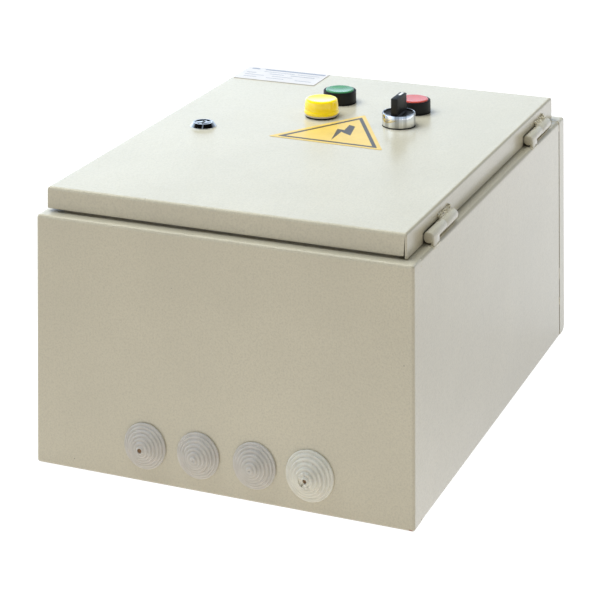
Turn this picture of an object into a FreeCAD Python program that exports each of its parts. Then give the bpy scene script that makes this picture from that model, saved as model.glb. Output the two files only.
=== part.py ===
"""Magnetic motor starter: a contactor, overload relay and breaker in a sheet-steel wall box.

Millimetres. The origin is the centre of the box's back face, +Z points out of the door, +Y is up
when the box hangs on a wall, and +X is the hinge side. Every sub-part is one STEP in parts/.
"""

import FreeCAD, Part
import math
import os

V = FreeCAD.Vector

# ---------------------------------------------------------------- driving dimensions
# Sheet-metal box
BODY_W = 300.0          # along X
BODY_H = 400.0          # along Y
BODY_D = 186.0          # back face to front rim
SHEET = 1.2             # body sheet thickness
WRAP_BEND = 3.0         # outer radius of the wrap's long bends
WALL_BEND = 2.2         # outer radius of the end walls' bends and corners
TOP_HEEL_R = 7.0        # outer radius of the top end wall's bend over the back
FLANGE_CORNER_R = 6.0   # free lower corner of an end wall's side flange
RETURN = 16.0           # end-wall flanges, and the width of the front rim
SLIT = 2.2              # open joint between the wrap and the top end wall
TACKS_Z = ((27.0, 34.5), (49.5, 180.0))    # welded stretches of that joint
LIP_H = 9.0             # gasket lip above the rim
WALL_HOLE_R = 4.5       # wall-fixing holes in the back
WALL_HOLE_DX = 250.0
WALL_HOLE_DY = 350.0

# Door
DOOR_X = (-146.0, 141.5)
DOOR_HALF_H = 190.5
DOOR_TOP = 204.6
DOOR_GAP = 2.6          # rim to the door's folded edge
HINGE_SIDE_GAP = 0.8    # the same on the hinge side, where the flange is deeper
DOOR_SHEET = 1.5
DOOR_BEND = 2.3
CORNER_SLIT = 1.1       # open corner of the folded door, widest at the free edge
GASKET_W = 8.0

# Lift-off hinges
HINGE_X = 145.3
HINGE_Z = BODY_D + 5.2
KNUCKLE_R = 4.2
PIN_R = 2.5
RUNNING = 0.05          # radial clearance of everything that turns or slides in a round bore
LEAF_T = 2.0
BODY_KNUCKLE_L = 32.0
DOOR_KNUCKLE_L = 28.0
LEAF_L = 14.0           # body leaf, from the near end of its knuckle
HINGE_JOINTS_Y = (-123.0, 134.0)   # where each body knuckle meets its door knuckle
KNUCKLE_GAP = 0.3
NOTCH_Z = HINGE_Z + 3.2     # top of the door's notches for the body knuckles

# Items on the door (X, Y)
START_AT = (-24.7, 108.8)
STOP_AT = (44.6, 104.1)
LAMP_AT = (-23.5, 62.7)
SELECTOR_AT = (46.4, 60.7)
LOCK_AT = (-103.5, -2.0)
SIGN_CENTRE = (8.5, 19.7)
SIGN_SIDE = 100.0
SIGN_TURN = -1.6        # degrees, stuck on a little askew
SIGN_CORNER_R = 1.0
PLATE_X = (-143.2, -64.9)
PLATE_Y = (148.0, 188.0)
STICKER_T = 0.25
NAMEPLATE_T = 0.5
DOOR_STUD_AT = (110.0, -160.0)

# 22 mm control units
CONTROL_HOLE_R = 11.2
BARREL_R = 11.0
BARREL_END = 24.0       # barrel length below the door's outer face
BEZEL_R = 14.2
BEZEL_GASKET = 0.8
BUTTON_BEZEL_H = 9.8
CAP_R = 12.4
CAP_PROUD = 0.8
CAP_T = 4.0
BUTTON_TRAVEL = 4.0
PLUNGER_R = 4.0
PLUNGER_END = 1.5       # how far plungers and shafts reach below the barrel
SELECTOR_R = 13.9
SELECTOR_RING_H = 10.4
SELECTOR_WALL = 1.5
DISC_DROP = 1.0         # selector disc below the rim of its ring
BLADE_W = 5.8
BLADE_L = 23.0
BLADE_H = 14.4
NUT_T = 4.0
BLOCK_W = 30.0
BLOCK_H = 22.0
BLOCK_D = 30.0

# Lamp, heights above the door
LAMP_BASE_H = 1.3
LAMP_COLLAR_H = 1.5
LAMP_H = 15.0
LENS_WALL = 1.6

# Cam lock
LOCK_BARREL_R = 10.0
LOCK_CONE = (11.0, 8.3)
LOCK_CONE_H = 3.8
CORE_R = 6.5
CAM_Z = 180.0
CAM_T = 2.0
CAM_W = 16.0
CAM_REACH = 38.0

# Cable grommets in the bottom end wall
GROMMET_Z = 27.0
SMALL_GROMMETS_X = (-59.0, -16.0, 28.5)
LARGE_GROMMET_X = 71.5
SMALL_GROMMET_R = 17.0
LARGE_GROMMET_R = 18.6
GROMMET_STEPS = 5

# Mounting plate and rails
PLATE_W = 230.0
PLATE_H = 330.0
PLATE_Z = 14.0
PLATE_T = 2.0
STUD_DX = 200.0
STUD_DY = 300.0
STUD_R = 3.0
RAIL_Y = (55.0, -118.0)
RAIL_L = 200.0
RAIL_H = 7.5
RAIL_W = 35.0
RAIL_FOOT = 27.0
RAIL_T = 1.0

# Breaker
BREAKER_X = -62.0
BREAKER_W = 54.0
BREAKER_H = 82.0
BREAKER_POLE = 18.0
BREAKER_SHOULDER_Z = 62.0
BREAKER_NOSE_Z = 74.0
BREAKER_NOSE_H = 45.0
TOGGLE_TILT = 35.0

# Contactor and overload relay
CONTACTOR_X = 12.0
CONTACTOR_W = 45.0
CONTACTOR_H = 74.0
CONTACTOR_SPLIT_Z = 58.0
CONTACTOR_TOP_Z = 92.0
POLE_PITCH = 14.0
PULL_IN = 5.0           # travel of the contact carrier
AIR = 0.02              # gap left when the magnet has closed
CORE_Z = 28.0
RELAY_H = 70.0
RELAY_Z = (30.0, 96.0)
TERMINAL_Z = 71.6       # wires and pins enter the contactor at this height
SCREW_R = 3.2

# Terminal strip
BLOCKS = 12
BLOCK_PITCH = 6.2
BLOCK_X0 = -61.0
STRIP_H = 45.0
STRIP_Z = 60.0
STRIP_WIRE_Z = 50.0

POWER_WIRE_R = 2.0

# ---------------------------------------------------------------- derived values
RIM_IN = BODY_D - SHEET                     # underside of the front rim
DOOR_IN = DOOR_TOP - DOOR_SHEET             # door sheet's inner face
DOOR_FOOT = BODY_D + DOOR_GAP               # free edge of the door's flanges
LIP_TOP = BODY_D + LIP_H
LIP_X = BODY_W / 2 - RETURN
LIP_Y = BODY_H / 2 - RETURN
PLATE_TOP = PLATE_Z + PLATE_T
RAIL_TOP = PLATE_TOP + RAIL_H
UPPER_RAIL, LOWER_RAIL = RAIL_Y
CONTACTOR_Y = UPPER_RAIL
CONTACTOR_BOTTOM_Y = CONTACTOR_Y - CONTACTOR_H / 2
RELAY_Y = (CONTACTOR_BOTTOM_Y - 0.2 - RELAY_H, CONTACTOR_BOTTOM_Y - 0.2)
BARREL_Z = DOOR_TOP - BARREL_END
CAP_TOP = DOOR_TOP + BEZEL_GASKET + BUTTON_BEZEL_H + CAP_PROUD
DISC_Z = DOOR_TOP + BEZEL_GASKET + SELECTOR_RING_H - DISC_DROP
BLADE_TOP = DISC_Z + BLADE_H
POLES = (-POLE_PITCH, 0.0, POLE_PITCH)
TERMINAL_Y = CONTACTOR_H / 2 - 6.0          # contactor screws, from the contactor's centre


# ---------------------------------------------------------------- helpers
def box(x0, x1, y0, y1, z0, z1):
    return Part.makeBox(x1 - x0, y1 - y0, z1 - z0, V(x0, y0, z0))


def cyl(r, z0, z1, x=0.0, y=0.0):
    return Part.makeCylinder(r, z1 - z0, V(x, y, z0))


def cyl_y(r, y0, y1, x, z):
    return Part.makeCylinder(r, y1 - y0, V(x, y0, z), V(0, 1, 0))


def ring(r_out, r_in, z0, z1, x=0.0, y=0.0):
    return cyl(r_out, z0, z1, x, y).cut(cyl(r_in, z0 - 1, z1 + 1, x, y))


def fuse(shapes):
    shapes = list(shapes)
    whole = shapes[0].multiFuse(shapes[1:]) if len(shapes) > 1 else shapes[0]
    return whole.removeSplitter()


def group(shapes):
    return Part.makeCompound(list(shapes))


def rounded(shape, radius, wanted):
    """Round the straight or round edges for which wanted(bounding box) is true."""
    edges = [e for e in shape.Edges if wanted(e.BoundBox)]
    return shape.makeFillet(radius, edges)


def prism(points, direction):
    outline = Part.makePolygon([V(*p) for p in points + points[:1]])
    return Part.Face(outline).extrude(V(*direction))


def turned(profile, x=0.0, y=0.0):
    """Solid of revolution about a Z axis through (x, y) from (radius, z) points."""
    points = [V(r, 0, z) for r, z in profile]
    face = Part.Face(Part.makePolygon(points + points[:1]))
    solid = face.revolve(V(0, 0, 0), V(0, 0, 1), 360)
    solid.translate(V(x, y, 0))
    return solid


def hexagon(across, z0, z1, x, y):
    radius = across / math.sqrt(3)
    corners = [
        (x + radius * math.cos(math.radians(60 * i)), y + radius * math.sin(math.radians(60 * i)), z0)
        for i in range(6)
    ]
    return prism(corners, (0, 0, z1 - z0))


def tube_along(points, radius, bend):
    """Round tube along straight runs joined by arcs of radius bend."""
    points = [V(*p) for p in points]
    edges, here = [], points[0]
    for before, corner, after in zip(points, points[1:], points[2:]):
        into, out = (corner - before).normalize(), (after - corner).normalize()
        half_turn = into.getAngle(out) / 2
        cut_back = bend * math.tan(half_turn)
        start, end = corner - into * cut_back, corner + out * cut_back
        inward = (out - into).normalize()
        crest = corner + inward * (bend / math.cos(half_turn) - bend)
        edges += [Part.makeLine(here, start), Part.Arc(start, crest, end).toShape()]
        here = end
    edges.append(Part.makeLine(here, points[-1]))
    circle = Part.Wire(Part.makeCircle(radius, points[0], points[1] - points[0]))
    return Part.Wire(edges).makePipeShell([circle], True, False)


def coil_spring(mean_r, wire_r, z0, z1, turns, x, y):
    """Open helix of eight-sided wire."""
    height = z1 - z0 - 2 * wire_r
    path = Part.Wire(Part.makeHelix(height / turns, height, mean_r).Edges)
    corners = []
    for i in range(8):
        angle = math.radians(45 * i)
        corners.append(V(mean_r + wire_r * math.cos(angle), 0, wire_r * math.sin(angle)))
    solid = path.makePipeShell([Part.makePolygon(corners + corners[:1])], True, True)
    solid.translate(V(x, y, z0 + wire_r))
    return solid


def slotted_screw(radius, z0, z1, x, y, slot_w=1.0, slot_d=1.2):
    screw = cyl(radius, z0, z1, x, y)
    return screw.cut(box(x - radius, x + radius, y - slot_w / 2, y + slot_w / 2, z1 - slot_d, z1 + 1))


# ---------------------------------------------------------------- sheet-metal box
def rounded_case(half_w, depth, y0, y1, radius, z0=0.0):
    case = box(-half_w, half_w, y0, y1, z0, depth)
    return rounded(case, radius, lambda b: b.YLength > abs(y1 - y0) - 0.01 and b.XLength < 0.01)


def hinge_spans():
    """(near end, meeting line, far end) of each hinge along Y."""
    return [(y - BODY_KNUCKLE_L, y, y + DOOR_KNUCKLE_L) for y in HINGE_JOINTS_Y]


def body_wrap():
    """Left side, back and right side in one sheet, with the front rim and gasket lips."""
    y0, y1 = -LIP_Y, LIP_Y - SLIT
    outer = rounded_case(BODY_W / 2, BODY_D, y0, y1, WRAP_BEND)
    inner = rounded_case(
        BODY_W / 2 - SHEET, BODY_D - SHEET, y0 - 1, y1 + 1, WRAP_BEND - SHEET, z0=SHEET
    )
    mouth = box(-LIP_X, LIP_X, y0 - 1, y1 + 1, RIM_IN - 1, BODY_D + 1)
    wrap = outer.cut(inner).cut(mouth)
    lips = [box(s * LIP_X - (s > 0) * SHEET, s * LIP_X + (s < 0) * SHEET, y0, y1, RIM_IN, LIP_TOP)
            for s in (-1, 1)]
    wrap = fuse([wrap] + lips)
    for sx in (-1, 1):
        for sy in (-1, 1):
            wrap = wrap.cut(cyl(WALL_HOLE_R, -1, SHEET + 1, sx * WALL_HOLE_DX / 2, sy * WALL_HOLE_DY / 2))
    return wrap


def end_wall(side, heel_r):
    """Flat end wall with flanges folded over the back, the sides and the front rim."""
    half_w, outer_y, inner_y = BODY_W / 2, side * BODY_H / 2, side * LIP_Y
    y0, y1 = sorted((inner_y, outer_y))
    pan = box(-half_w, half_w, y0, y1, 0, BODY_D)
    pan = rounded(pan, heel_r, lambda b: b.ZMax < 0.01 and abs(b.Center.y - outer_y) < 0.01)
    pan = rounded(pan, WALL_BEND, lambda b: b.YLength < 0.01 and abs(b.Center.y - outer_y) < 0.01
                  and b.ZMax > BODY_D - 0.01 or b.ZMin > BODY_D - 0.01 and b.XLength < 0.01)
    reach = side * (BODY_H / 2 - SHEET)
    h0, h1 = sorted((inner_y - side * 1.0, reach))
    hollow = box(-half_w + SHEET, half_w - SHEET, h0, h1, SHEET, RIM_IN)
    hollow = rounded(
        hollow, heel_r - SHEET, lambda b: b.ZMax < SHEET + 0.01 and abs(b.Center.y - reach) < 0.01
    )
    pan = pan.cut(hollow)
    l0, l1 = sorted((inner_y, inner_y + side * SHEET))
    pan = fuse([pan, box(-LIP_X, LIP_X, l0, l1, RIM_IN, LIP_TOP)])
    arc_y = inner_y + side * FLANGE_CORNER_R
    arc = Part.makeCylinder(FLANGE_CORNER_R, BODY_W, V(-half_w, arc_y, FLANGE_CORNER_R), V(1, 0, 0))
    for x in (-half_w, half_w - SHEET):
        corner = box(x, x + SHEET, min(inner_y, arc_y), max(inner_y, arc_y), 0, FLANGE_CORNER_R)
        pan = pan.cut(corner.cut(arc))
    return pan


def bottom_end_wall():
    wall = end_wall(-1, WALL_BEND)
    y0, y1 = -BODY_H / 2 - 1, -BODY_H / 2 + SHEET + 1
    for x in SMALL_GROMMETS_X:
        wall = wall.cut(cyl_y(SMALL_GROMMET_R - 3, y0, y1, x, GROMMET_Z))
    return wall.cut(cyl_y(LARGE_GROMMET_R - 3, y0, y1, LARGE_GROMMET_X, GROMMET_Z))


def top_end_wall():
    """End wall with the welds that close most of the joint to the wrap."""
    wall = end_wall(1, TOP_HEEL_R)
    weld_depth = 0.7
    welds = []
    for side in (-1, 1):
        x0, x1 = sorted((side * (BODY_W / 2 - SHEET), side * (BODY_W / 2 - SHEET + weld_depth)))
        for z0, z1 in TACKS_Z:
            welds.append(box(x0, x1, LIP_Y - SLIT, LIP_Y, z0, z1))
    return fuse([wall] + welds)


# ---------------------------------------------------------------- hinges
def hinge_body_leaves():
    """Body halves: a closed knuckle on a short leaf that runs down on to the body's front edge."""
    case = rounded_case(BODY_W / 2, BODY_D, -LIP_Y, LIP_Y, WRAP_BEND)
    halves = []
    for near, meet, _ in hinge_spans():
        end = meet - KNUCKLE_GAP / 2
        barrel = cyl_y(KNUCKLE_R, near, end, HINGE_X, HINGE_Z)
        leaf_x = HINGE_X + KNUCKLE_R
        leaf = box(leaf_x - LEAF_T, leaf_x, near, near + LEAF_L, BODY_D - 2, HINGE_Z)
        bore = cyl_y(PIN_R, near + 2, end + 1, HINGE_X, HINGE_Z)
        halves.append(fuse([barrel, leaf]).cut(bore).cut(case))
    return group(halves)


def hinge_door_leaves():
    """Door halves: knuckles welded to the outside of the door's side flange."""
    halves = []
    for _, meet, far in hinge_spans():
        start = meet + KNUCKLE_GAP / 2
        barrel = cyl_y(KNUCKLE_R, start, far, HINGE_X, HINGE_Z)
        foot = box(DOOR_X[1], HINGE_X, start + 1, far - 1, HINGE_Z, HINGE_Z + KNUCKLE_R)
        bore = cyl_y(PIN_R + RUNNING, start - 1, far - 2, HINGE_X, HINGE_Z)
        door_side = box(0, DOOR_X[1], start - 1, far + 1, BODY_D, DOOR_TOP)
        halves.append(fuse([barrel, foot]).cut(bore).cut(door_side))
    return group(halves)


def hinge_pins():
    return group(cyl_y(PIN_R, near + 2, far - 3, HINGE_X, HINGE_Z) for near, _, far in hinge_spans())


# ---------------------------------------------------------------- door
def control_sites():
    return (START_AT, STOP_AT, LAMP_AT, SELECTOR_AT)


def corner_slit(corner, widens, through):
    """Wedge for an open folded corner: none at the door's face, CORNER_SLIT at the free edge."""
    x, y = corner
    foot = DOOR_FOOT - 0.1
    closed = 0.1
    points = [(x, y, foot), (x + widens[0] * CORNER_SLIT, y + widens[1] * CORNER_SLIT, foot),
              (x + widens[0] * closed, y + widens[1] * closed, DOOR_IN - 1), (x, y, DOOR_IN - 1)]
    return prism(points, (*through, 0))


def door_panel():
    """Folded tray with open corners, notched for the hinges and drilled for the controls."""
    x0, x1 = DOOR_X
    outer = box(x0, x1, -DOOR_HALF_H, DOOR_HALF_H, BODY_D + HINGE_SIDE_GAP, DOOR_TOP)
    outer = rounded(outer, 1.0, lambda b: b.ZLength > 1)
    outer = rounded(outer, DOOR_BEND, lambda b: abs(b.ZMin - DOOR_TOP) < 0.01)
    t = DOOR_SHEET
    inner = box(x0 + t, x1 - t, -DOOR_HALF_H + t, DOOR_HALF_H - t, BODY_D, DOOR_IN)
    shallow = box(x0 - 1, x1 - t, -DOOR_HALF_H - 1, DOOR_HALF_H + 1, BODY_D, DOOR_FOOT)
    door = outer.cut(inner).cut(shallow)
    for side in (-1, 1):
        y = side * (DOOR_HALF_H - t)
        door = door.cut(corner_slit((x0 - 1, y), (0, -side), (t + 1, 0)))
        door = door.cut(corner_slit((x1 - t, y - side), (-1, 0), (0, side * (t + 2))))
    for near, meet, _ in hinge_spans():
        door = door.cut(box(x1 - t - 1, x1 + 1, near - 1, meet + 0.5, BODY_D, NOTCH_Z))
    for x, y in control_sites():
        door = door.cut(cyl(CONTROL_HOLE_R, DOOR_IN - 1, DOOR_TOP + 1, x, y))
    door = door.cut(cyl(LOCK_BARREL_R + 0.1, DOOR_IN - 1, DOOR_TOP + 1, *LOCK_AT))
    earth_stud = cyl(STUD_R, DOOR_IN - 16, DOOR_IN, *DOOR_STUD_AT)
    return fuse([door, earth_stud])


def door_gasket():
    half = GASKET_W / 2
    mid_x, mid_y = LIP_X - SHEET / 2, LIP_Y + SHEET / 2
    z0 = LIP_TOP + 0.1
    outer = box(-mid_x - half, mid_x + half, -mid_y - half, mid_y + half, z0, DOOR_IN)
    inner = box(-mid_x + half, mid_x - half, -mid_y + half, mid_y - half, z0 - 1, DOOR_IN + 1)
    return outer.cut(inner)


def hazard_sticker():
    """Equilateral triangle with rounded corners, apex towards +Y."""
    radius = SIGN_SIDE / math.sqrt(3)
    cx, cy = SIGN_CENTRE
    corners = [
        (cx + radius * math.cos(math.radians(a)), cy + radius * math.sin(math.radians(a)), DOOR_TOP)
        for a in (90 + SIGN_TURN, 210 + SIGN_TURN, 330 + SIGN_TURN)
    ]
    sheet = prism(corners, (0, 0, STICKER_T))
    return rounded(sheet, SIGN_CORNER_R, lambda b: b.ZLength > STICKER_T / 2)


def nameplate():
    plate = box(*PLATE_X, *PLATE_Y, DOOR_TOP, DOOR_TOP + NAMEPLATE_T)
    return rounded(plate, 1.5, lambda b: b.ZLength > NAMEPLATE_T / 2)


# ---------------------------------------------------------------- control units on the door
def button_bezel(at):
    """Round bezel and threaded barrel, with a guide bore for the plunger."""
    x, y = at
    z0 = DOOR_TOP + BEZEL_GASKET
    top = z0 + BUTTON_BEZEL_H
    seat = CAP_TOP - CAP_T - BUTTON_TRAVEL
    well = BARREL_Z + 6
    profile = [
        (PLUNGER_R + RUNNING, BARREL_Z), (BARREL_R, BARREL_Z), (BARREL_R, z0), (BEZEL_R, z0),
        (BEZEL_R, top - 0.8), (BEZEL_R - 0.8, top), (CAP_R + 0.3, top), (CAP_R + 0.3, seat),
        (8.0, seat), (8.0, well), (PLUNGER_R + RUNNING, well),
    ]
    return turned(profile, x, y)


def push_button_bezels():
    return group([button_bezel(START_AT), button_bezel(STOP_AT)])


def button_cap(at, dish):
    """Cap with its plunger: it runs down through the barrel's guide bore."""
    x, y = at
    under = CAP_TOP - CAP_T
    cap = cyl(CAP_R, under, CAP_TOP, x, y)
    cap = rounded(cap, 0.8, lambda b: abs(b.ZMin - CAP_TOP) < 0.01)
    if dish:
        radius = 60.0
        cap = cap.cut(Part.makeSphere(radius, V(x, y, CAP_TOP + math.sqrt(radius**2 - 11.0**2))))
    return fuse([cap, cyl(PLUNGER_R, BARREL_Z - PLUNGER_END, under + 0.5, x, y)])


def button_spring(at):
    return coil_spring(6.2, 0.5, BARREL_Z + 6, CAP_TOP - CAP_T, 5, *at)


def control_gaskets():
    z1 = DOOR_TOP + BEZEL_GASKET
    sites = ((START_AT, BEZEL_R), (STOP_AT, BEZEL_R), (SELECTOR_AT, SELECTOR_R))
    return group(ring(radius, BARREL_R, DOOR_TOP, z1, *at) for at, radius in sites)


def control_nuts():
    """Ring nuts behind the door, with two flats for a spanner."""
    nuts = []
    for x, y in control_sites():
        nut = ring(14.0, BARREL_R, DOOR_IN - NUT_T, DOOR_IN, x, y)
        nuts.append(nut.common(box(x - 13.0, x + 13.0, y - 15, y + 15, DOOR_IN - NUT_T, DOOR_IN)))
    return group(nuts)


def contact_blocks():
    """One block behind each button and one behind the selector, bored for the plunger."""
    blocks = []
    for x, y in (START_AT, STOP_AT, SELECTOR_AT):
        z1 = BARREL_Z
        body = box(x - BLOCK_W / 2, x + BLOCK_W / 2, y - BLOCK_H / 2, y + BLOCK_H / 2, z1 - BLOCK_D, z1)
        body = rounded(body, 1.0, lambda b: b.ZLength > 5)
        body = body.cut(cyl(PLUNGER_R + 1.0, z1 - 12, z1 + 1, x, y))
        for side in (-1, 1):
            sx = x + side * (BLOCK_W / 2 - 5)
            body = body.cut(cyl(2.6, z1 - BLOCK_D - 1, z1 - BLOCK_D + 3, sx, y))
            entry_z = z1 - BLOCK_D + 5
            body = body.cut(box(sx - 2, sx + 2, y - BLOCK_H / 2 - 1, y - 5, entry_z, entry_z + 4))
        blocks.append(body)
    return group(blocks)


def selector_bezel():
    x, y = SELECTOR_AT
    z0 = DOOR_TOP + BEZEL_GASKET
    top = z0 + SELECTOR_RING_H
    bore = SELECTOR_R - SELECTOR_WALL
    profile = [
        (PLUNGER_R + RUNNING, BARREL_Z), (BARREL_R, BARREL_Z), (BARREL_R, z0), (SELECTOR_R, z0),
        (SELECTOR_R, top - 0.6), (SELECTOR_R - 0.6, top), (bore, top), (bore, z0 + 2.0),
        (PLUNGER_R + RUNNING, z0 + 2.0),
    ]
    return turned(profile, x, y)


def selector_marker():
    """White pointer strip let into the top of the blade at its front end."""
    x, y = SELECTOR_AT
    return box(x - 1.1, x + 1.1, y + 1.0, y + BLADE_L / 2, BLADE_TOP - 1.0, BLADE_TOP)


def selector_knob():
    """Disc in the ring with an upright grip blade across it and a shaft through the barrel."""
    x, y = SELECTOR_AT
    half_w, half_l = BLADE_W / 2, BLADE_L / 2
    blade = box(x - half_w, x + half_w, y - half_l, y + half_l, DISC_Z - 1, BLADE_TOP)
    disc = cyl(SELECTOR_R - SELECTOR_WALL - RUNNING, DISC_Z - 3.0, DISC_Z, x, y)
    shaft = cyl(PLUNGER_R, BARREL_Z - PLUNGER_END, DISC_Z - 2.5, x, y)
    return fuse([disc, blade, shaft]).cut(selector_marker())


def lamp_base():
    """Black barrel and flange of the lamp."""
    x, y = LAMP_AT
    z1 = DOOR_TOP + LAMP_BASE_H
    profile = [
        (9.0, BARREL_Z), (BARREL_R, BARREL_Z), (BARREL_R, DOOR_TOP), (13.75, DOOR_TOP),
        (13.75, z1), (9.0, z1),
    ]
    return turned(profile, x, y)


def lamp_collar():
    z0 = DOOR_TOP + LAMP_BASE_H
    return ring(14.0, 9.0, z0, z0 + LAMP_COLLAR_H, *LAMP_AT)


def lamp_lens():
    """Hollow lens with a bulged foot, a waist and a flat top."""
    x, y = LAMP_AT
    z0 = DOOR_TOP + LAMP_BASE_H + LAMP_COLLAR_H
    top = DOOR_TOP + LAMP_H
    outside = [
        (14.3, z0), (14.8, z0 + 1.0), (14.8, z0 + 2.4), (14.2, z0 + 3.2), (14.1, z0 + 5.8),
        (13.7, top - 2.6), (13.2, top - 0.9), (12.2, top),
    ]
    profile = [(11.5, z0)] + outside + [(0.0, top), (0.0, top - LENS_WALL), (11.5, top - LENS_WALL)]
    return turned(profile, x, y)


def lamp_led_module():
    """Light source: plugs into the barrel from behind and shines into the lens."""
    x, y = LAMP_AT
    body = cyl(10.5, BARREL_Z - 22, BARREL_Z, x, y)
    stem = cyl(8.8, BARREL_Z, DOOR_TOP + 4, x, y)
    bulb = cyl(4.0, DOOR_TOP + 4, DOOR_TOP + 9, x, y)
    bulb = rounded(bulb, 2.0, lambda b: abs(b.ZMin - DOOR_TOP - 9) < 0.01)
    return fuse([body, stem, bulb])


# ---------------------------------------------------------------- cam lock
def lock_housing():
    x, y = LOCK_AT
    top = DOOR_TOP + LOCK_CONE_H
    bore = CORE_R + RUNNING
    profile = [
        (bore, CAM_Z + CAM_T + 1.0), (LOCK_BARREL_R, CAM_Z + CAM_T + 1.0), (LOCK_BARREL_R, DOOR_TOP),
        (LOCK_CONE[0], DOOR_TOP), (LOCK_CONE[0], DOOR_TOP + 0.8), (LOCK_CONE[1], top), (bore, top),
    ]
    return turned(profile, x, y)


def lock_nut():
    x, y = LOCK_AT
    nut = hexagon(26.0, DOOR_IN - 5, DOOR_IN, x, y)
    return nut.cut(cyl(LOCK_BARREL_R, DOOR_IN - 6, DOOR_IN + 1, x, y))


def lock_core():
    """Plug with the key slot; its square tail carries the cam."""
    x, y = LOCK_AT
    top = DOOR_TOP + LOCK_CONE_H - 0.4
    plug = cyl(CORE_R, CAM_Z + CAM_T, top, x, y)
    plug = plug.cut(box(x - 1.6, x + 1.6, y - 5.0, y + 5.0, top - 12, top + 1))
    tail = box(x - 4, x + 4, y - 4, y + 4, CAM_Z - 3, CAM_Z + CAM_T + 1)
    return fuse([plug, tail])


def lock_cam():
    """Flat tongue on the plug's tail: hangs clear of the rim when unlocked."""
    x, y = LOCK_AT
    tongue = box(x - CAM_W / 2, x + CAM_W / 2, y - CAM_REACH, y, CAM_Z, CAM_Z + CAM_T)
    hub = cyl(CAM_W / 2, CAM_Z, CAM_Z + CAM_T, x, y)
    hole = box(x - 4, x + 4, y - 4, y + 4, CAM_Z - 1, CAM_Z + CAM_T + 1)
    return fuse([tongue, hub]).cut(hole)


# ---------------------------------------------------------------- cable grommets
def grommet(x, radius, tip_r, proud):
    """Rubber cone in rising steps, clipped into its hole by a groove."""
    wall_y = BODY_H / 2
    neck = radius - 3
    flange = 1.8
    rise = (proud - flange) / GROMMET_STEPS
    run = (radius - 1.5 - tip_r) / GROMMET_STEPS
    skin = 1.4
    outside = [(radius, 0.0), (radius, flange)]
    for i in range(GROMMET_STEPS):
        r, h = radius - 1.5 - i * run, flange + i * rise
        outside += [(r, h), (r - 0.5, h + rise)]
    inside = [(max(r - skin, tip_r * 0.6), h - skin) for r, h in reversed(outside[2:])]
    inside[0] = (inside[0][0], proud)
    barb = neck + 1.5
    profile = outside + inside + [
        (neck - skin, -SHEET - 1.5), (barb, -SHEET - 1.5), (barb, -SHEET), (neck, -SHEET), (neck, 0.0)
    ]
    cone = turned(profile)
    cone.rotate(V(0, 0, 0), V(1, 0, 0), 90)
    cone.translate(V(x, -wall_y, GROMMET_Z))
    return cone


def cable_grommets():
    return group(grommet(x, SMALL_GROMMET_R, 3.4, 10.5) for x in SMALL_GROMMETS_X)


def large_cable_grommet():
    return grommet(LARGE_GROMMET_X, LARGE_GROMMET_R, 4.2, 12.0)


# ---------------------------------------------------------------- mounting plate and rails
def stud_sites():
    return [(sx * STUD_DX / 2, sy * STUD_DY / 2) for sx in (-1, 1) for sy in (-1, 1)]


def mounting_plate():
    plate = box(-PLATE_W / 2, PLATE_W / 2, -PLATE_H / 2, PLATE_H / 2, PLATE_Z, PLATE_TOP)
    plate = rounded(plate, 4.0, lambda b: b.ZLength > 1)
    for x, y in stud_sites():
        plate = plate.cut(cyl(STUD_R + 0.3, PLATE_Z - 1, PLATE_TOP + 1, x, y))
    for x, y in rail_screw_sites():
        plate = plate.cut(cyl(2.0, PLATE_Z - 1, PLATE_TOP + 1, x, y))
    return plate


def plate_studs():
    """Studs welded to the back, with a shoulder that carries the plate."""
    return group(
        fuse([cyl(5.0, SHEET, PLATE_Z, x, y), cyl(STUD_R, PLATE_Z, PLATE_TOP + 9, x, y)])
        for x, y in stud_sites()
    )


def plate_nuts():
    nuts = []
    for x, y in stud_sites():
        nut = hexagon(10.0, PLATE_TOP, PLATE_TOP + 5, x, y)
        nuts.append(nut.cut(cyl(STUD_R, PLATE_TOP - 1, PLATE_TOP + 6, x, y)))
    return nuts


def rail_screw_sites():
    return [(sx * (RAIL_L / 2 - 6), y) for sx in (-1, 1) for y in RAIL_Y]


def rail_profile(y, grow=0.0, x0=-RAIL_L / 2, x1=RAIL_L / 2):
    """Top-hat rail; grow adds clearance all round for the slots that devices clip on with."""
    foot, half = RAIL_FOOT / 2 + grow, RAIL_W / 2 + grow
    top, under = RAIL_TOP + grow, RAIL_TOP - RAIL_T - grow
    hat = fuse([
        box(x0, x1, y - foot, y + foot, PLATE_TOP, top),
        box(x0, x1, y - half, y + half, under, top),
    ])
    if grow:
        return hat
    inside = RAIL_FOOT / 2 - RAIL_T
    return hat.cut(box(x0 - 1, x1 + 1, y - inside, y + inside, PLATE_TOP + RAIL_T, RAIL_TOP + 1))


def din_rails():
    rails = []
    for y in RAIL_Y:
        rail = rail_profile(y)
        for x, hole_y in rail_screw_sites():
            if hole_y == y:
                rail = rail.cut(cyl(2.2, PLATE_TOP - 1, RAIL_TOP + 1, x, y))
        rails.append(rail)
    return group(rails)


def rail_screws():
    z = PLATE_TOP + RAIL_T
    return [
        fuse([slotted_screw(4.0, z, z + 2.6, x, y), cyl(2.0, PLATE_Z - 2, z, x, y)])
        for x, y in rail_screw_sites()
    ]


def plate_fasteners():
    """Nuts that hold the plate on its studs, and screws that hold the rails on the plate."""
    return group(plate_nuts() + rail_screws())


def rail_slot(y, x0, x1):
    return rail_profile(y, 0.05, x0 - 1, x1 + 1)


# ---------------------------------------------------------------- breaker
def breaker_poles_x():
    return [BREAKER_X + i * BREAKER_POLE for i in (-1, 0, 1)]


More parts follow.
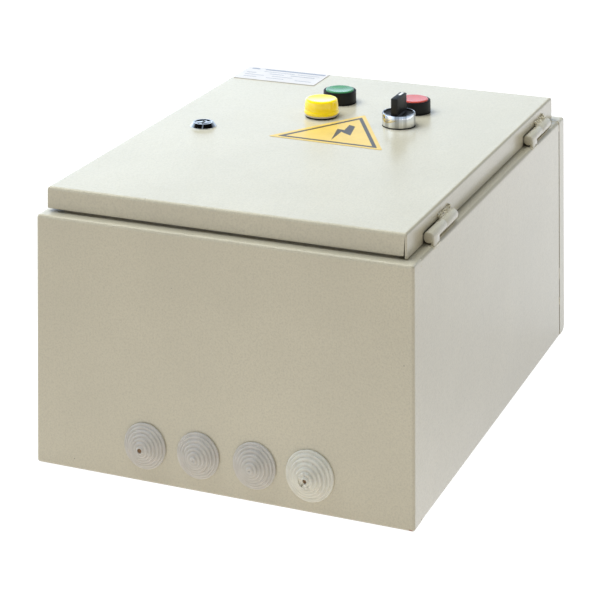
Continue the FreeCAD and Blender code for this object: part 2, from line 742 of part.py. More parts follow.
def breaker_housing():
    x0, x1 = BREAKER_X - BREAKER_W / 2, BREAKER_X + BREAKER_W / 2
    y, half, nose = UPPER_RAIL, BREAKER_H / 2, BREAKER_NOSE_H / 2
    housing = fuse([
        box(x0, x1, y - half, y + half, PLATE_TOP + 2, BREAKER_SHOULDER_Z),
        box(x0, x1, y - nose, y + nose, BREAKER_SHOULDER_Z, BREAKER_NOSE_Z),
    ]).cut(rail_slot(y, x0, x1))
    for x in breaker_poles_x():
        slot = box(x - 4.2, x + 4.2, y - 13, y + 13, BREAKER_NOSE_Z - 12, BREAKER_NOSE_Z + 1)
        housing = housing.cut(slot)
        for side in (-1, 1):
            end = y + side * half
            housing = housing.cut(cyl(SCREW_R + 0.4, 50, BREAKER_SHOULDER_Z + 1, x, end - side * 9))
            w0, w1 = sorted((end + side, end - side * 12))
            housing = housing.cut(cyl_y(POWER_WIRE_R, w0, w1, x, 45))
    tunnel = cyl(1.5 + RUNNING, x0 + 5, x1 - 5)
    tunnel.rotate(V(0, 0, 0), V(0, 1, 0), 90)
    tunnel.translate(V(0, y, BREAKER_NOSE_Z - 6))
    return housing.cut(tunnel)


def breaker_toggle():
    """Three levers on one axle, tied by a bar: down is off."""
    y, z = UPPER_RAIL, BREAKER_NOSE_Z - 6
    axle = cyl(1.5, BREAKER_X - 22, BREAKER_X + 22)
    axle.rotate(V(0, 0, 0), V(0, 1, 0), 90)
    axle.translate(V(0, y, z))
    parts = [axle]
    for x in breaker_poles_x():
        hub = cyl(5.0, x - 3.8, x + 3.8)
        hub.rotate(V(0, 0, 0), V(0, 1, 0), 90)
        hub.translate(V(0, y, z))
        parts += [hub, box(x - 3.8, x + 3.8, y - 2, y + 2, z, z + 19)]
    parts.append(box(BREAKER_X - 22, BREAKER_X + 22, y - 2, y + 2, z + 13.5, z + 19))
    toggle = fuse(parts)
    toggle.rotate(V(BREAKER_X, y, z), V(1, 0, 0), TOGGLE_TILT)
    return toggle


# ---------------------------------------------------------------- contactor
def at_contactor(shape):
    shape.translate(V(CONTACTOR_X, CONTACTOR_Y, 0))
    return shape


def contactor_base():
    """Lower housing with the well for the magnet and coil."""
    w, h = CONTACTOR_W / 2, CONTACTOR_H / 2
    base = box(-w, w, -h, h, PLATE_TOP + 2, CONTACTOR_SPLIT_Z)
    base = rounded(base, 1.5, lambda b: b.ZLength > 20)
    base = base.cut(box(-17.5, 17.5, -25.5, 25.5, CORE_Z, CONTACTOR_SPLIT_Z + 1))
    base = at_contactor(base)
    return base.cut(rail_slot(UPPER_RAIL, CONTACTOR_X - w, CONTACTOR_X + w))


def e_core(back_z, tip_z):
    """E-shaped laminated core: its back is between back_z and 8 mm nearer tip_z."""
    inner = back_z + math.copysign(8.0, tip_z - back_z)
    z0, z1 = sorted((back_z, inner))
    t0, t1 = sorted((inner, tip_z))
    legs = [box(-7, 7, y0, y1, t0, t1) for y0, y1 in ((-24.5, -17.5), (-7, 7), (17.5, 24.5))]
    return fuse([box(-7, 7, -24.5, 24.5, z0, z1)] + legs)


CORE_TIP_Z = CORE_Z + 18.0
ARMATURE_TIP_Z = CORE_TIP_Z + PULL_IN + AIR
ARMATURE_BACK_Z = ARMATURE_TIP_Z + 15.0
CONTACT_Z = 69.0                           # top of the fixed contacts


def contactor_core():
    return at_contactor(e_core(CORE_Z, CORE_TIP_Z))


def contactor_armature():
    return at_contactor(e_core(ARMATURE_BACK_Z, ARMATURE_TIP_Z))


def contactor_coil():
    z0, z1 = CORE_Z + 8.0, CORE_Z + 22.0
    flanges = [box(-15, 15, -17, 17, z0, z0 + 1.5), box(-15, 15, -17, 17, z1 - 1.5, z1)]
    winding = box(-13.5, 13.5, -15.5, 15.5, z0, z1)
    winding = rounded(winding, 4.0, lambda b: b.ZLength > 5)
    bobbin = fuse(flanges + [winding])
    return at_contactor(bobbin.cut(box(-7.4, 7.4, -7.4, 7.4, z0 - 1, z1 + 1)))


def contactor_spring():
    z0, z1 = CORE_Z + 22.0, ARMATURE_BACK_Z - 8.0
    return coil_spring(10.9, 0.5, z0, z1, 4, CONTACTOR_X, CONTACTOR_Y)


def contactor_carrier():
    """Moulded bridge that rides on the armature and shows through the cover."""
    z0 = ARMATURE_BACK_Z
    foot = box(-16.5, 16.5, -9, 9, z0, z0 + 3)
    column = box(-16.5, 16.5, -5, 5, z0 + 3, z0 + 14)
    stem = box(-6, 6, -3.5, 3.5, z0 + 14, CONTACTOR_TOP_Z + 3)
    carrier = fuse([foot, column, stem])
    for x in POLES:
        carrier = carrier.cut(box(x - 2.5, x + 2.5, -6, 6, CONTACT_Z + PULL_IN + AIR, z0 + 12))
    return at_contactor(carrier)


def moving_contacts():
    z0 = CONTACT_Z + PULL_IN + AIR
    return at_contactor(group(box(x - 2.5, x + 2.5, -14, 14, z0, z0 + 1.5) for x in POLES))


def fixed_contact_boxes():
    w, h = 2.8, CONTACTOR_H / 2
    return [
        box(x - w, x + w, min(s * 10, s * h), max(s * 10, s * h), CONTACT_Z - 1.2, CONTACT_Z)
        for x in POLES for s in (-1, 1)
    ]


def fixed_contacts():
    return at_contactor(group(fixed_contact_boxes()))


def contactor_cover():
    """Upper housing: contact chamber, terminal wells and the window for the carrier."""
    w, h = CONTACTOR_W / 2, CONTACTOR_H / 2
    cover = box(-w, w, -h, h, CONTACTOR_SPLIT_Z, CONTACTOR_TOP_Z)
    cover = rounded(cover, 1.5, lambda b: b.ZLength > 20)
    for side in (-1, 1):
        y0, y1 = sorted((side * (h + 1), side * (h - 12)))
        cover = cover.cut(box(-w - 1, w + 1, y0, y1, CONTACTOR_TOP_Z - 10, CONTACTOR_TOP_Z + 1))
    cover = cover.cut(box(-17.5, 17.5, -25.5, 25.5, CONTACTOR_SPLIT_Z - 1, CONTACT_Z - 1.2))
    cover = cover.cut(box(-17.5, 17.5, -15.5, 15.5, CONTACT_Z - 2, 84))
    cover = cover.cut(box(-6.3, 6.3, -3.8, 3.8, 80, CONTACTOR_TOP_Z + 1))
    for bar in fixed_contact_boxes():
        cover = cover.cut(bar)
    for x in POLES:
        for side in (-1, 1):
            cover = cover.cut(cyl(SCREW_R + 0.4, CONTACT_Z, CONTACTOR_TOP_Z, x, side * TERMINAL_Y))
            y0, y1 = sorted((side * (h + 1), side * (TERMINAL_Y - 3)))
            cover = cover.cut(cyl_y(2.4, y0, y1, x, TERMINAL_Z))
    return at_contactor(cover)


# ---------------------------------------------------------------- overload relay
DIAL_AT = (CONTACTOR_X + 10.0, RELAY_Y[0] + 40.0)
RESET_AT = (CONTACTOR_X - 12.0, RELAY_Y[0] + 46.0)
RELAY_STOP_AT = (CONTACTOR_X - 12.0, RELAY_Y[0] + 32.0)
DIAL_R = 7.0
RELAY_KEY_R = 3.5
RELAY_TRAVEL = 3.0
RELAY_WIRE_Z = 76.0


def relay_terminal_y():
    return RELAY_Y[0] + 7.0


def relay_housing():
    w = CONTACTOR_W / 2
    (y0, y1), (z0, z1) = RELAY_Y, RELAY_Z
    relay = box(CONTACTOR_X - w, CONTACTOR_X + w, y0, y1, z0, z1)
    relay = rounded(relay, 1.5, lambda b: b.ZLength > 20)
    relay = relay.cut(box(CONTACTOR_X - w - 1, CONTACTOR_X + w + 1, y0 - 1, y0 + 14, z1 - 12, z1 + 1))
    relay = relay.cut(box(CONTACTOR_X - w - 1, CONTACTOR_X + w + 1, y1 - 12, y1 + 1, z1 - 16, z1 + 1))
    relay = relay.cut(cyl(DIAL_R + RUNNING, z1 - 5, z1 + 1, *DIAL_AT))
    for at in (RESET_AT, RELAY_STOP_AT):
        relay = relay.cut(cyl(RELAY_KEY_R + RUNNING, z1 - 12, z1 + 1, *at))
    for x in POLES:
        px = CONTACTOR_X + x
        relay = relay.cut(cyl_y(2.2, y1 - 12, y1 + 1, px, TERMINAL_Z))
        relay = relay.cut(cyl_y(POWER_WIRE_R, y0 - 1, y0 + 10, px, RELAY_WIRE_Z))
        relay = relay.cut(cyl(SCREW_R + 0.4, RELAY_WIRE_Z + 2, z1, px, relay_terminal_y()))
    return relay


def relay_pins():
    """Stiff copper pins that plug the relay into the contactor's lower terminals."""
    y0, y1 = RELAY_Y[1] - 12, CONTACTOR_Y - TERMINAL_Y + 3
    return group(cyl_y(2.2, y0, y1, CONTACTOR_X + x, TERMINAL_Z) for x in POLES)


def relay_dial():
    """Current-setting dial with a screwdriver slot."""
    z1 = RELAY_Z[1]
    return slotted_screw(DIAL_R, z1 - 5, z1 + 1.0, *DIAL_AT, slot_w=1.6, slot_d=1.5)


def relay_key(at):
    z1 = RELAY_Z[1]
    key = cyl(RELAY_KEY_R, z1 - 12 + RELAY_TRAVEL + 0.2, z1 + 4.0, *at)
    return rounded(key, 0.6, lambda b: abs(b.ZMin - z1 - 4.0) < 0.01)


# ---------------------------------------------------------------- terminal strip
def block_xs():
    return [BLOCK_X0 + i * BLOCK_PITCH for i in range(BLOCKS)]


def strip_block(x0, width, wire_r=POWER_WIRE_R):
    """Feed-through terminal with sloping shoulders, a screw well and wire holes."""
    y, half = LOWER_RAIL, STRIP_H / 2
    z0, z1 = PLATE_TOP + 3, STRIP_Z
    outline = [(x0, y - half, z0), (x0, y + half, z0), (x0, y + half, z1 - 6), (x0, y + half - 7, z1),
               (x0, y - half + 7, z1), (x0, y - half, z1 - 6)]
    block = prism(outline, (width, 0, 0)).cut(rail_slot(y, x0, x0 + width))
    mid = x0 + width / 2
    if wire_r:
        for side in (-1, 1):
            block = block.cut(cyl(2.3, STRIP_WIRE_Z + 1, z1 + 1, mid, y + side * (half - 9)))
            y0, y1 = sorted((y + side * (half + 1), y + side * (half - 9)))
            block = block.cut(cyl_y(wire_r, y0, y1, mid, STRIP_WIRE_Z))
    return block


def terminal_blocks():
    return group(strip_block(x, BLOCK_PITCH - 0.1) for x in block_xs())


def earth_xs():
    first = block_xs()[-1] + BLOCK_PITCH
    return [first, first + BLOCK_PITCH]


def earth_terminals():
    return group(strip_block(x, BLOCK_PITCH - 0.1) for x in earth_xs())


def end_stops():
    left = BLOCK_X0 - 8.1
    right = earth_xs()[-1] + BLOCK_PITCH
    return group([strip_block(left, 8.0, 0), strip_block(right, 8.0, 0)])


def terminal_screws():
    """Every clamp screw: breaker, contactor, overload relay and terminal strip."""
    screws = []
    for x in breaker_poles_x():
        for side in (-1, 1):
            y = UPPER_RAIL + side * (BREAKER_H / 2 - 9)
            screws.append(slotted_screw(SCREW_R, 50, BREAKER_SHOULDER_Z - 1.5, x, y))
    for x in POLES:
        for side in (-1, 1):
            y = CONTACTOR_Y + side * TERMINAL_Y
            screws.append(slotted_screw(SCREW_R, TERMINAL_Z + 2.6, 80, CONTACTOR_X + x, y))
        y = relay_terminal_y()
        screws.append(slotted_screw(SCREW_R, RELAY_WIRE_Z + 2.2, 83, CONTACTOR_X + x, y))
    for x in block_xs() + earth_xs():
        for side in (-1, 1):
            y = LOWER_RAIL + side * (STRIP_H / 2 - 9)
            screws.append(slotted_screw(2.2, STRIP_WIRE_Z + 2.2, STRIP_Z - 1, x + BLOCK_PITCH / 2 - 0.05, y))
    return group(screws)


# ---------------------------------------------------------------- wiring
POWER_BEND = 7.0
HARNESS_R = 4.5
HARNESS_BEND = 16.0
HARNESS_X = 104.0


def strip_x(index):
    return block_xs()[index] + BLOCK_PITCH / 2 - 0.05


def run_down(start, end_index):
    """Wire that leaves towards -Y and drops into a terminal block's upper entry."""
    x0, y0, z0 = start
    x1, entry = strip_x(end_index), LOWER_RAIL + STRIP_H / 2
    points = [
        start, (x0, y0 - 18, z0), (x1, entry + 12, STRIP_WIRE_Z), (x1, entry - 6, STRIP_WIRE_Z)
    ]
    return tube_along(points, POWER_WIRE_R - 0.05, POWER_BEND)


def supply_wires():
    bottom = UPPER_RAIL - BREAKER_H / 2
    return group(run_down((x, bottom + 8, 45), i) for i, x in enumerate(breaker_poles_x()))


def motor_wires():
    return group(
        run_down((CONTACTOR_X + x, RELAY_Y[0] + 7, RELAY_WIRE_Z), 6 + 2 * i)
        for i, x in enumerate(POLES)
    )


def power_wires():
    """Loops from the top of the breaker over to the top of the contactor."""
    top = UPPER_RAIL + BREAKER_H / 2
    wires = []
    for i, x in enumerate(breaker_poles_x()):
        x1, crest = CONTACTOR_X + POLES[2 - i], top + 42 - 12 * i
        points = [(x, top - 8, 45), (x, crest, 45), (x1, crest, TERMINAL_Z),
                  (x1, CONTACTOR_Y + TERMINAL_Y + 3.5, TERMINAL_Z)]
        wires.append(tube_along(points, POWER_WIRE_R - 0.05, POWER_BEND))
    return group(wires)


def control_harness():
    """Sleeved control wires on the plate, from the terminal strip to the hinge side."""
    y0 = LOWER_RAIL - STRIP_H / 2
    x0 = strip_x(9)
    points = [(x0, y0, STRIP_WIRE_Z), (x0, y0 - 22, STRIP_WIRE_Z), (HARNESS_X, y0 - 22, STRIP_WIRE_Z),
              (HARNESS_X, 0, STRIP_WIRE_Z), (HARNESS_X, 0, 110)]
    return tube_along(points, HARNESS_R, HARNESS_BEND)


def door_harness():
    """Sleeved control wires on the door, from the contact blocks to the hinge side."""
    x, y = SELECTOR_AT
    z = BARREL_Z - 15
    points = [(x + BLOCK_W / 2, y, z), (HARNESS_X, y, z), (HARNESS_X, 20, z)]
    return tube_along(points, HARNESS_R, HARNESS_BEND)


# ---------------------------------------------------------------- every sub-part
NODES = {
    "body_wrap": body_wrap,
    "bottom_end_wall": bottom_end_wall,
    "top_end_wall": top_end_wall,
    "hinge_body_leaves": hinge_body_leaves,
    "hinge_pins": hinge_pins,
    "cable_grommets": cable_grommets,
    "large_cable_grommet": large_cable_grommet,
    "mounting_plate": mounting_plate,
    "plate_studs": plate_studs,
    "plate_fasteners": plate_fasteners,
    "din_rails": din_rails,
    "breaker_housing": breaker_housing,
    "breaker_toggle": breaker_toggle,
    "contactor_base": contactor_base,
    "contactor_cover": contactor_cover,
    "contactor_core": contactor_core,
    "contactor_coil": contactor_coil,
    "contactor_spring": contactor_spring,
    "contactor_armature": contactor_armature,
    "contactor_carrier": contactor_carrier,
    "moving_contacts": moving_contacts,
    "fixed_contacts": fixed_contacts,
    "relay_housing": relay_housing,
    "relay_pins": relay_pins,
    "relay_dial": relay_dial,
    "relay_reset_button": lambda: relay_key(RESET_AT),
    "relay_stop_button": lambda: relay_key(RELAY_STOP_AT),
    "terminal_blocks": terminal_blocks,
    "earth_terminals": earth_terminals,
    "end_stops": end_stops,
    "terminal_screws": terminal_screws,
    "supply_wires": supply_wires,
    "power_wires": power_wires,
    "motor_wires": motor_wires,
    "control_harness": control_harness,
    "door_panel": door_panel,
    "door_gasket": door_gasket,
    "hinge_door_leaves": hinge_door_leaves,
    "door_harness": door_harness,
    "hazard_sticker": hazard_sticker,
    "nameplate": nameplate,
    "push_button_bezels": push_button_bezels,
    "control_gaskets": control_gaskets,
    "control_nuts": control_nuts,
    "contact_blocks": contact_blocks,
    "start_cap": lambda: button_cap(START_AT, True),
    "stop_cap": lambda: button_cap(STOP_AT, False),
    "start_spring": lambda: button_spring(START_AT),
    "stop_spring": lambda: button_spring(STOP_AT),
    "selector_bezel": selector_bezel,
    "selector_knob": selector_knob,
    "selector_marker": selector_marker,
    "lamp_base": lamp_base,
    "lamp_collar": lamp_collar,
    "lamp_lens": lamp_lens,
    "lamp_led_module": lamp_led_module,
    "lock_housing": lock_housing,
    "lock_nut": lock_nut,
    "lock_core": lock_core,
    "lock_cam": lock_cam,
}

os.makedirs("parts", exist_ok=True)
for name, make in NODES.items():
    make().exportStep(os.path.join("parts", name + ".step"))
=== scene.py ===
"""Magnetic motor starter in a painted sheet-steel box, lying on its back on a pale floor.

Lengths in this script are millimetres, as in the design, until a mesh is stored in metres.
"""
from math import atan2, cos, pi, radians, sin, sqrt, tan

import bmesh
import bpy
from mathutils import Matrix, Vector, noise


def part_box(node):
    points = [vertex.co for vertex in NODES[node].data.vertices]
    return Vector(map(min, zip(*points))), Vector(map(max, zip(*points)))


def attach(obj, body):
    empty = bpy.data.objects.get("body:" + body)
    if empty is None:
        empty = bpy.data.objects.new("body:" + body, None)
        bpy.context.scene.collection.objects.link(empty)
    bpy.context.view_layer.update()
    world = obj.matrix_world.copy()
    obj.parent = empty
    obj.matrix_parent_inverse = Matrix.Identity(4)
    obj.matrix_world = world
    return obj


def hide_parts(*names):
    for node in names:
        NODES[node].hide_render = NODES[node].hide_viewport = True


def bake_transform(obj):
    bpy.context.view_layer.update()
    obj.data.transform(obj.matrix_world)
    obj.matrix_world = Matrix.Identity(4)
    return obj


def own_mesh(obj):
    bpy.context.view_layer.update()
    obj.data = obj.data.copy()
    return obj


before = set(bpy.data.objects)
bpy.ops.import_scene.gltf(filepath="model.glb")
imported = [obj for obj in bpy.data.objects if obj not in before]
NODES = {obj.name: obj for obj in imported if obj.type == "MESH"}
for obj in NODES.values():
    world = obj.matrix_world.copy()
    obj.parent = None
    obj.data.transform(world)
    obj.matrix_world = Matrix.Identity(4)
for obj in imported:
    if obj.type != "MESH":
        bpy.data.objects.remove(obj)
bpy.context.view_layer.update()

MM = 0.001


# ---- places taken from the frame
def corners(node):
    low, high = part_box(node)
    return low / MM, high / MM


def middle(node):
    low, high = corners(node)
    return (low + high) / 2


DOOR_Z = corners("hazard_sticker")[0].z        # outer face of the door
DOOR_HIGH = corners("door_panel")[1]
BOX_LOW, BOX_HIGH = corners("bottom_end_wall")
SIDE_X = BOX_HIGH.x                            # outer face of the box's right side
WRAP_NEAR_Y = corners("body_wrap")[0].y        # ends of the folded sheet, where the end walls meet it
WRAP_FAR_Y = corners("body_wrap")[1].y
RIM_Z = corners("hinge_body_leaves")[0].z      # lower end of the body leaves, just under the rim
START = middle("start_cap")
STOP = middle("stop_cap")
LAMP = middle("lamp_lens")
SELECTOR = middle("selector_bezel")
LOCK = middle("lock_housing")
BARREL_Z = corners("push_button_bezels")[0].z  # lower end of the threaded barrels
GASKET_TOP = corners("control_gaskets")[1].z
BEZEL_R = START.x - corners("push_button_bezels")[0].x
RING_R = corners("selector_bezel")[1].x - SELECTOR.x


# ---- shader helper
def linear(channel):
    return channel / 12.92 if channel <= 0.04045 else ((channel + 0.055) / 1.055) ** 2.4


def rgba(colour):
    """Colour given as three 0-255 screen values."""
    return tuple(linear(c / 255) for c in colour) + (1.0,)


def shade(colour, amount):
    return tuple(min(255.0, c * amount) for c in colour)


WHITE = (255, 255, 255)


class Shader:
    """One procedural material. A value may be a number, a colour or another node's socket."""

    def __init__(self, name, tree=None):
        if tree is None:
            self.material = bpy.data.materials.new(name)
            self.material.use_nodes = True
            tree = self.material.node_tree
        self.nodes = tree.nodes
        self.links = tree.links
        self.surface = self.nodes.get("Principled BSDF")

    def plug(self, node, index, value):
        if isinstance(value, bpy.types.NodeSocket):
            self.links.new(value, node.inputs[index])
        else:
            node.inputs[index].default_value = value

    def add(self, kind, inputs=None, **settings):
        node = self.nodes.new("ShaderNode" + kind)
        for key, value in settings.items():
            setattr(node, key, value)
        for index, value in (inputs or {}).items():
            self.plug(node, index, value)
        return node

    def set(self, **inputs):
        for key, value in inputs.items():
            self.plug(self.surface, key.replace("_", " "), value)

    def facing(self):
        """Outputs X, Y and Z of the surface's direction."""
        return self.add("SeparateXYZ", {0: self.add("TexCoord").outputs["Normal"]}).outputs

    def place(self, stretch=(1, 1, 1)):
        """Object coordinates, in metres, divided by stretch."""
        place = self.add("TexCoord").outputs["Object"]
        if stretch == (1, 1, 1):
            return place
        scale = tuple(1.0 / s for s in stretch)
        return self.add("Mapping", {"Vector": place, "Scale": scale}).outputs["Vector"]

    def noise(self, size, detail=2.0, rough=0.5, place=None):
        """Cloudy noise from 0 to 1 whose features are about size millimetres wide."""
        inputs = {
            "Vector": place or self.place(), "Scale": 1.0 / (size * MM), "Detail": detail,
            "Roughness": rough,
        }
        return self.add("TexNoise", inputs).outputs["Fac"]

    def cells(self, size, output="Distance", place=None):
        inputs = {"Vector": place or self.place(), "Scale": 1.0 / (size * MM)}
        return self.add("TexVoronoi", inputs).outputs[output]

    def ramp(self, factor, *stops):
        node = self.add("ValToRGB", {"Fac": factor})
        elements = node.color_ramp.elements
        while len(elements) < len(stops):
            elements.new(0.5)
        for element, (position, colour) in zip(elements, stops):
            element.position = position
            element.color = rgba(colour)
        return node.outputs["Color"]

    def mix(self, factor, a, b, blend="MIX"):
        node = self.add("Mix", data_type="RGBA", blend_type=blend)
        self.plug(node, 0, factor)
        for index, colour in ((6, a), (7, b)):
            self.plug(node, index, colour if isinstance(colour, bpy.types.NodeSocket) else rgba(colour))
        return node.outputs[2]

    def scale(self, value, low, high, from_low=0.0, from_high=1.0):
        inputs = {
            "Value": value, "From Min": from_low, "From Max": from_high, "To Min": low, "To Max": high
        }
        return self.add("MapRange", inputs).outputs["Result"]

    def math(self, operation, *values):
        node = self.add("Math", operation=operation)
        for index, value in enumerate(values):
            self.plug(node, index, value)
        return node.outputs[0]

    def near(self, point, inner, outer):
        """1 within inner millimetres of a point, falling to 0 at outer."""
        node = self.add("VectorMath", {0: self.place(), 1: Vector(point) * MM}, operation="DISTANCE")
        return self.scale(node.outputs["Value"], 1.0, 0.0, inner * MM, outer * MM)

    def relief(self, *layers):
        """Stack of (height from 0 to 1, depth in millimetres)."""
        normal = None
        for height, depth in layers:
            node = self.add("Bump", {"Height": height, "Strength": 1.0, "Distance": depth * MM})
            if normal:
                self.links.new(normal, node.inputs["Normal"])
            normal = node.outputs["Normal"]
        self.links.new(normal, self.surface.inputs["Normal"])


# ---- materials
PAINT_COLOUR = (199, 191, 167)
# colour of the painted shade on the hinge-side bends and of the painted contact shadow at the floor
PAINTED_SHADE_COLOUR = (164, 152, 120)
RUST_COLOUR = (168, 104, 84)


def paint(name, rust=(), shaded_folds=False, contact_shadow=False, colour=PAINT_COLOUR):
    """Semi-gloss powder coat: orange peel, faint cloudiness and dust nibs. It may have painted shade
    (a dark reflection) along the bends of the hinge side, a painted contact shadow where the box
    stands on the floor, and rust at worn spots, given as (point, radius) pairs in millimetres."""
    s = Shader(name)
    tone = s.ramp(s.noise(70, 3), (0.3, shade(colour, 0.985)), (0.7, shade(colour, 1.015)))
    grain = s.scale(s.noise(1.3, 2, 0.6), 0.0, 0.6, 0.42, 0.72)
    tone = s.mix(grain, tone, shade(colour, 0.9))
    specks = s.scale(s.cells(23), 1.0, 0.0, 0.016, 0.024)
    tone = s.mix(specks, tone, shade(colour, 0.7))
    if shaded_folds:
        # painted shade: surfaces facing both sideways and up, at the bends of the hinge side, are darkened
        # to stand in for a dark reflection
        facing = s.facing()
        fold_shade = s.scale(s.math("MULTIPLY", facing["X"], facing["Z"]), 0.0, 0.7, 0.3, 0.46)
        tone = s.mix(fold_shade, tone, PAINTED_SHADE_COLOUR)
    if contact_shadow:
        # painted contact shadow: darker within 1.5 mm of the floor
        height = s.add("SeparateXYZ", {0: s.place()}).outputs["Z"]
        tone = s.mix(s.scale(height, 0.8, 0.0, 0.3 * MM, 1.5 * MM), tone, shade(PAINTED_SHADE_COLOUR, 0.75))
    rough = s.scale(s.noise(5, 2), 0.26, 0.34)
    for point, radius in rust:
        edge = s.math("MULTIPLY", s.near(point, radius * 0.3, radius), s.noise(1.6, 4, 0.7))
        worn = s.scale(edge, 0.0, 0.9, 0.30, 0.50)
        rusty = s.ramp(s.noise(0.7, 3), (0.3, shade(RUST_COLOUR, 0.8)), (0.7, RUST_COLOUR))
        tone = s.mix(worn, tone, rusty)
        rough = s.math("MAXIMUM", rough, s.scale(worn, 0.0, 0.85))
    s.set(Base_Color=tone, Roughness=rough, Specular_IOR_Level=0.6, Coat_Weight=0.5, Coat_Roughness=0.16)
    s.relief((s.noise(1.7, 2, 0.55), 0.21), (s.noise(7, 1), 0.12), (s.noise(80, 1), 0.45))
    return s.material


def moulded(name, colour, rough=0.45, grain=0.4, depth=0.02, soft=0.0, coat=0.0, gloss=0.5, haze=0.08):
    """Injection-moulded plastic with a fine texture and slight colour drift."""
    s = Shader(name)
    tone = s.ramp(s.noise(14, 2), (0.3, shade(colour, 0.93)), (0.7, colour))
    dust = s.scale(s.noise(2.3, 5, 0.7), 0.0, 0.25, 0.55, 0.8)
    s.set(
        Base_Color=s.mix(dust, tone, shade(colour, 1.25)), Coat_Weight=coat, Coat_Roughness=haze,
        Roughness=s.scale(s.noise(3, 2), rough * 0.82, rough * 1.18), Specular_IOR_Level=gloss,
    )
    if soft:
        s.set(Subsurface_Weight=soft, Subsurface_Radius=(1.0, 0.7, 0.4), Subsurface_Scale=2 * MM)
    s.relief((s.noise(grain, 2), depth), (s.noise(7, 1), depth * 2))
    return s.material


def metal(name, colour, rough=0.3, size=1.2, stretch=(1, 1, 1), depth=0.01):
    """Bare or plated metal with fine directional marks."""
    s = Shader(name)
    marks = s.noise(size, 3, 0.6, s.place(stretch))
    s.set(
        Base_Color=s.ramp(marks, (0.25, shade(colour, 0.85)), (0.75, colour)), Metallic=1.0,
        Roughness=s.scale(marks, rough * 0.7, rough * 1.3),
    )
    s.relief((marks, depth), (s.noise(6, 2), depth * 2))
    return s.material


def chrome(name, painted_reflection_bands):
    """Bright chrome: lengthways brushing and, on the ring, broad darker bands of painted reflection."""
    s = Shader(name)
    upright = s.place((1, 1, 30))
    fine = s.noise(1.1, 3, 0.6, upright)
    broad = s.noise(5.5, 2, 0.6, upright)
    low = 1.0 - painted_reflection_bands
    # painted reflection: broad darker bands in the chrome's own colour
    tone = s.ramp(broad, (0.35, shade((232, 232, 230), low)), (0.6, (238, 238, 236)))
    s.set(Base_Color=tone, Metallic=1.0, Roughness=s.scale(fine, 0.05, 0.09))
    s.relief((fine, 0.0004), (broad, 0.02 * painted_reflection_bands))
    return s.material


def galvanised(name):
    """Zinc coat with spangle: crystals of slightly different grey and gloss."""
    s = Shader(name)
    crystal = s.add("SeparateColor", {0: s.cells(6, "Color")}).outputs[0]
    tone = s.ramp(crystal, (0.0, (168, 172, 176)), (1.0, (206, 209, 212)))
    s.set(Base_Color=s.mix(s.scale(s.noise(60, 3), 0, 0.3), tone, (176, 176, 172)), Metallic=0.9,
          Roughness=s.scale(crystal, 0.32, 0.5))
    s.relief((s.noise(1.0, 3), 0.01))
    return s.material


def rubber(name, colour, soft=0.3):
    """Milky rubber that lets some light through, with dusty patches."""
    s = Shader(name)
    tone = s.ramp(s.noise(7, 3), (0.3, shade(colour, 0.94)), (0.7, colour))
    stain_and_shade = s.scale(s.noise(3.5, 4, 0.7), 0.0, 0.4, 0.6, 0.8)
    s.set(
        Base_Color=s.mix(stain_and_shade, tone, (186, 160, 140)), Roughness=s.scale(s.noise(2, 2), 0.4, 0.55),
        Subsurface_Weight=soft, Subsurface_Radius=(1.0, 0.9, 0.75), Subsurface_Scale=2 * MM,
    )
    s.relief((s.noise(0.8, 2), 0.02), (s.noise(6, 1), 0.15))
    return s.material


# matte brown fill: the plugs in the grommet tips, and painted shade in the far seam
def stain_and_shade(name, colour):
    s = Shader(name)
    s.set(Base_Color=s.ramp(s.noise(0.5, 3), (0.3, shade(colour, 0.6)), (0.7, colour)), Roughness=0.8)
    s.relief((s.noise(0.4, 3), 0.1))
    return s.material


LENS_TOP_REFLECTION_COLOUR = (244, 222, 90)
LENS_GLOW_COLOUR = (236, 206, 0)


def lens(name, colour):
    """Clear-coated coloured lens, paler on its flat top from a painted reflection, with a faint painted
    glow all over that stands in for light let through it.
    """
    s = Shader(name)
    tone = s.ramp(s.noise(6, 1), (0.3, shade(colour, 0.96)), (0.7, colour))
    # painted reflection: faces looking up are mixed towards a paler yellow
    flat = s.scale(s.facing()["Z"], 0.0, 0.8, 0.85, 0.98)
    tone = s.mix(flat, tone, LENS_TOP_REFLECTION_COLOUR)
    # painted glow: weak emission in the lens's yellow stands in for light let through it
    s.set(
        Base_Color=tone, Roughness=0.14, Subsurface_Weight=0.2, Subsurface_Radius=(1.0, 0.8, 0.1),
        Subsurface_Scale=3 * MM, Coat_Weight=0.6, Coat_Roughness=0.12, Emission_Strength=0.27,
        Emission_Color=rgba(LENS_GLOW_COLOUR),
    )
    s.relief((s.noise(2.2, 1), 0.008))
    return s.material


def film(name, colour, rough=0.3):
    """Printed vinyl film with a fine emboss from the paint under it."""
    s = Shader(name)
    tone = s.ramp(s.noise(12, 3), (0.3, shade(colour, 0.96)), (0.7, colour))
    faded = s.scale(s.noise(0.9, 3, 0.7), 0.0, 0.18, 0.5, 0.75)
    s.set(
        Base_Color=s.mix(faded, tone, shade(colour, 1.12)), Specular_IOR_Level=0.3,
        Roughness=s.scale(s.noise(5, 2), rough * 0.85, rough * 1.15),
    )
    s.relief((s.noise(1.7, 2), 0.04), (s.noise(16, 1), 0.08))
    return s.material


END_WALL_RUST = [((SIDE_X - 3, BOX_LOW.y, 0.0), 4.0)]
WRAP_RUST = [((SIDE_X - 1, BOX_LOW.y + 18, 1.0), 3.0)]
PAINT = paint("painted_sheet")
DOOR_PAINT = paint("painted_door", shaded_folds=True)
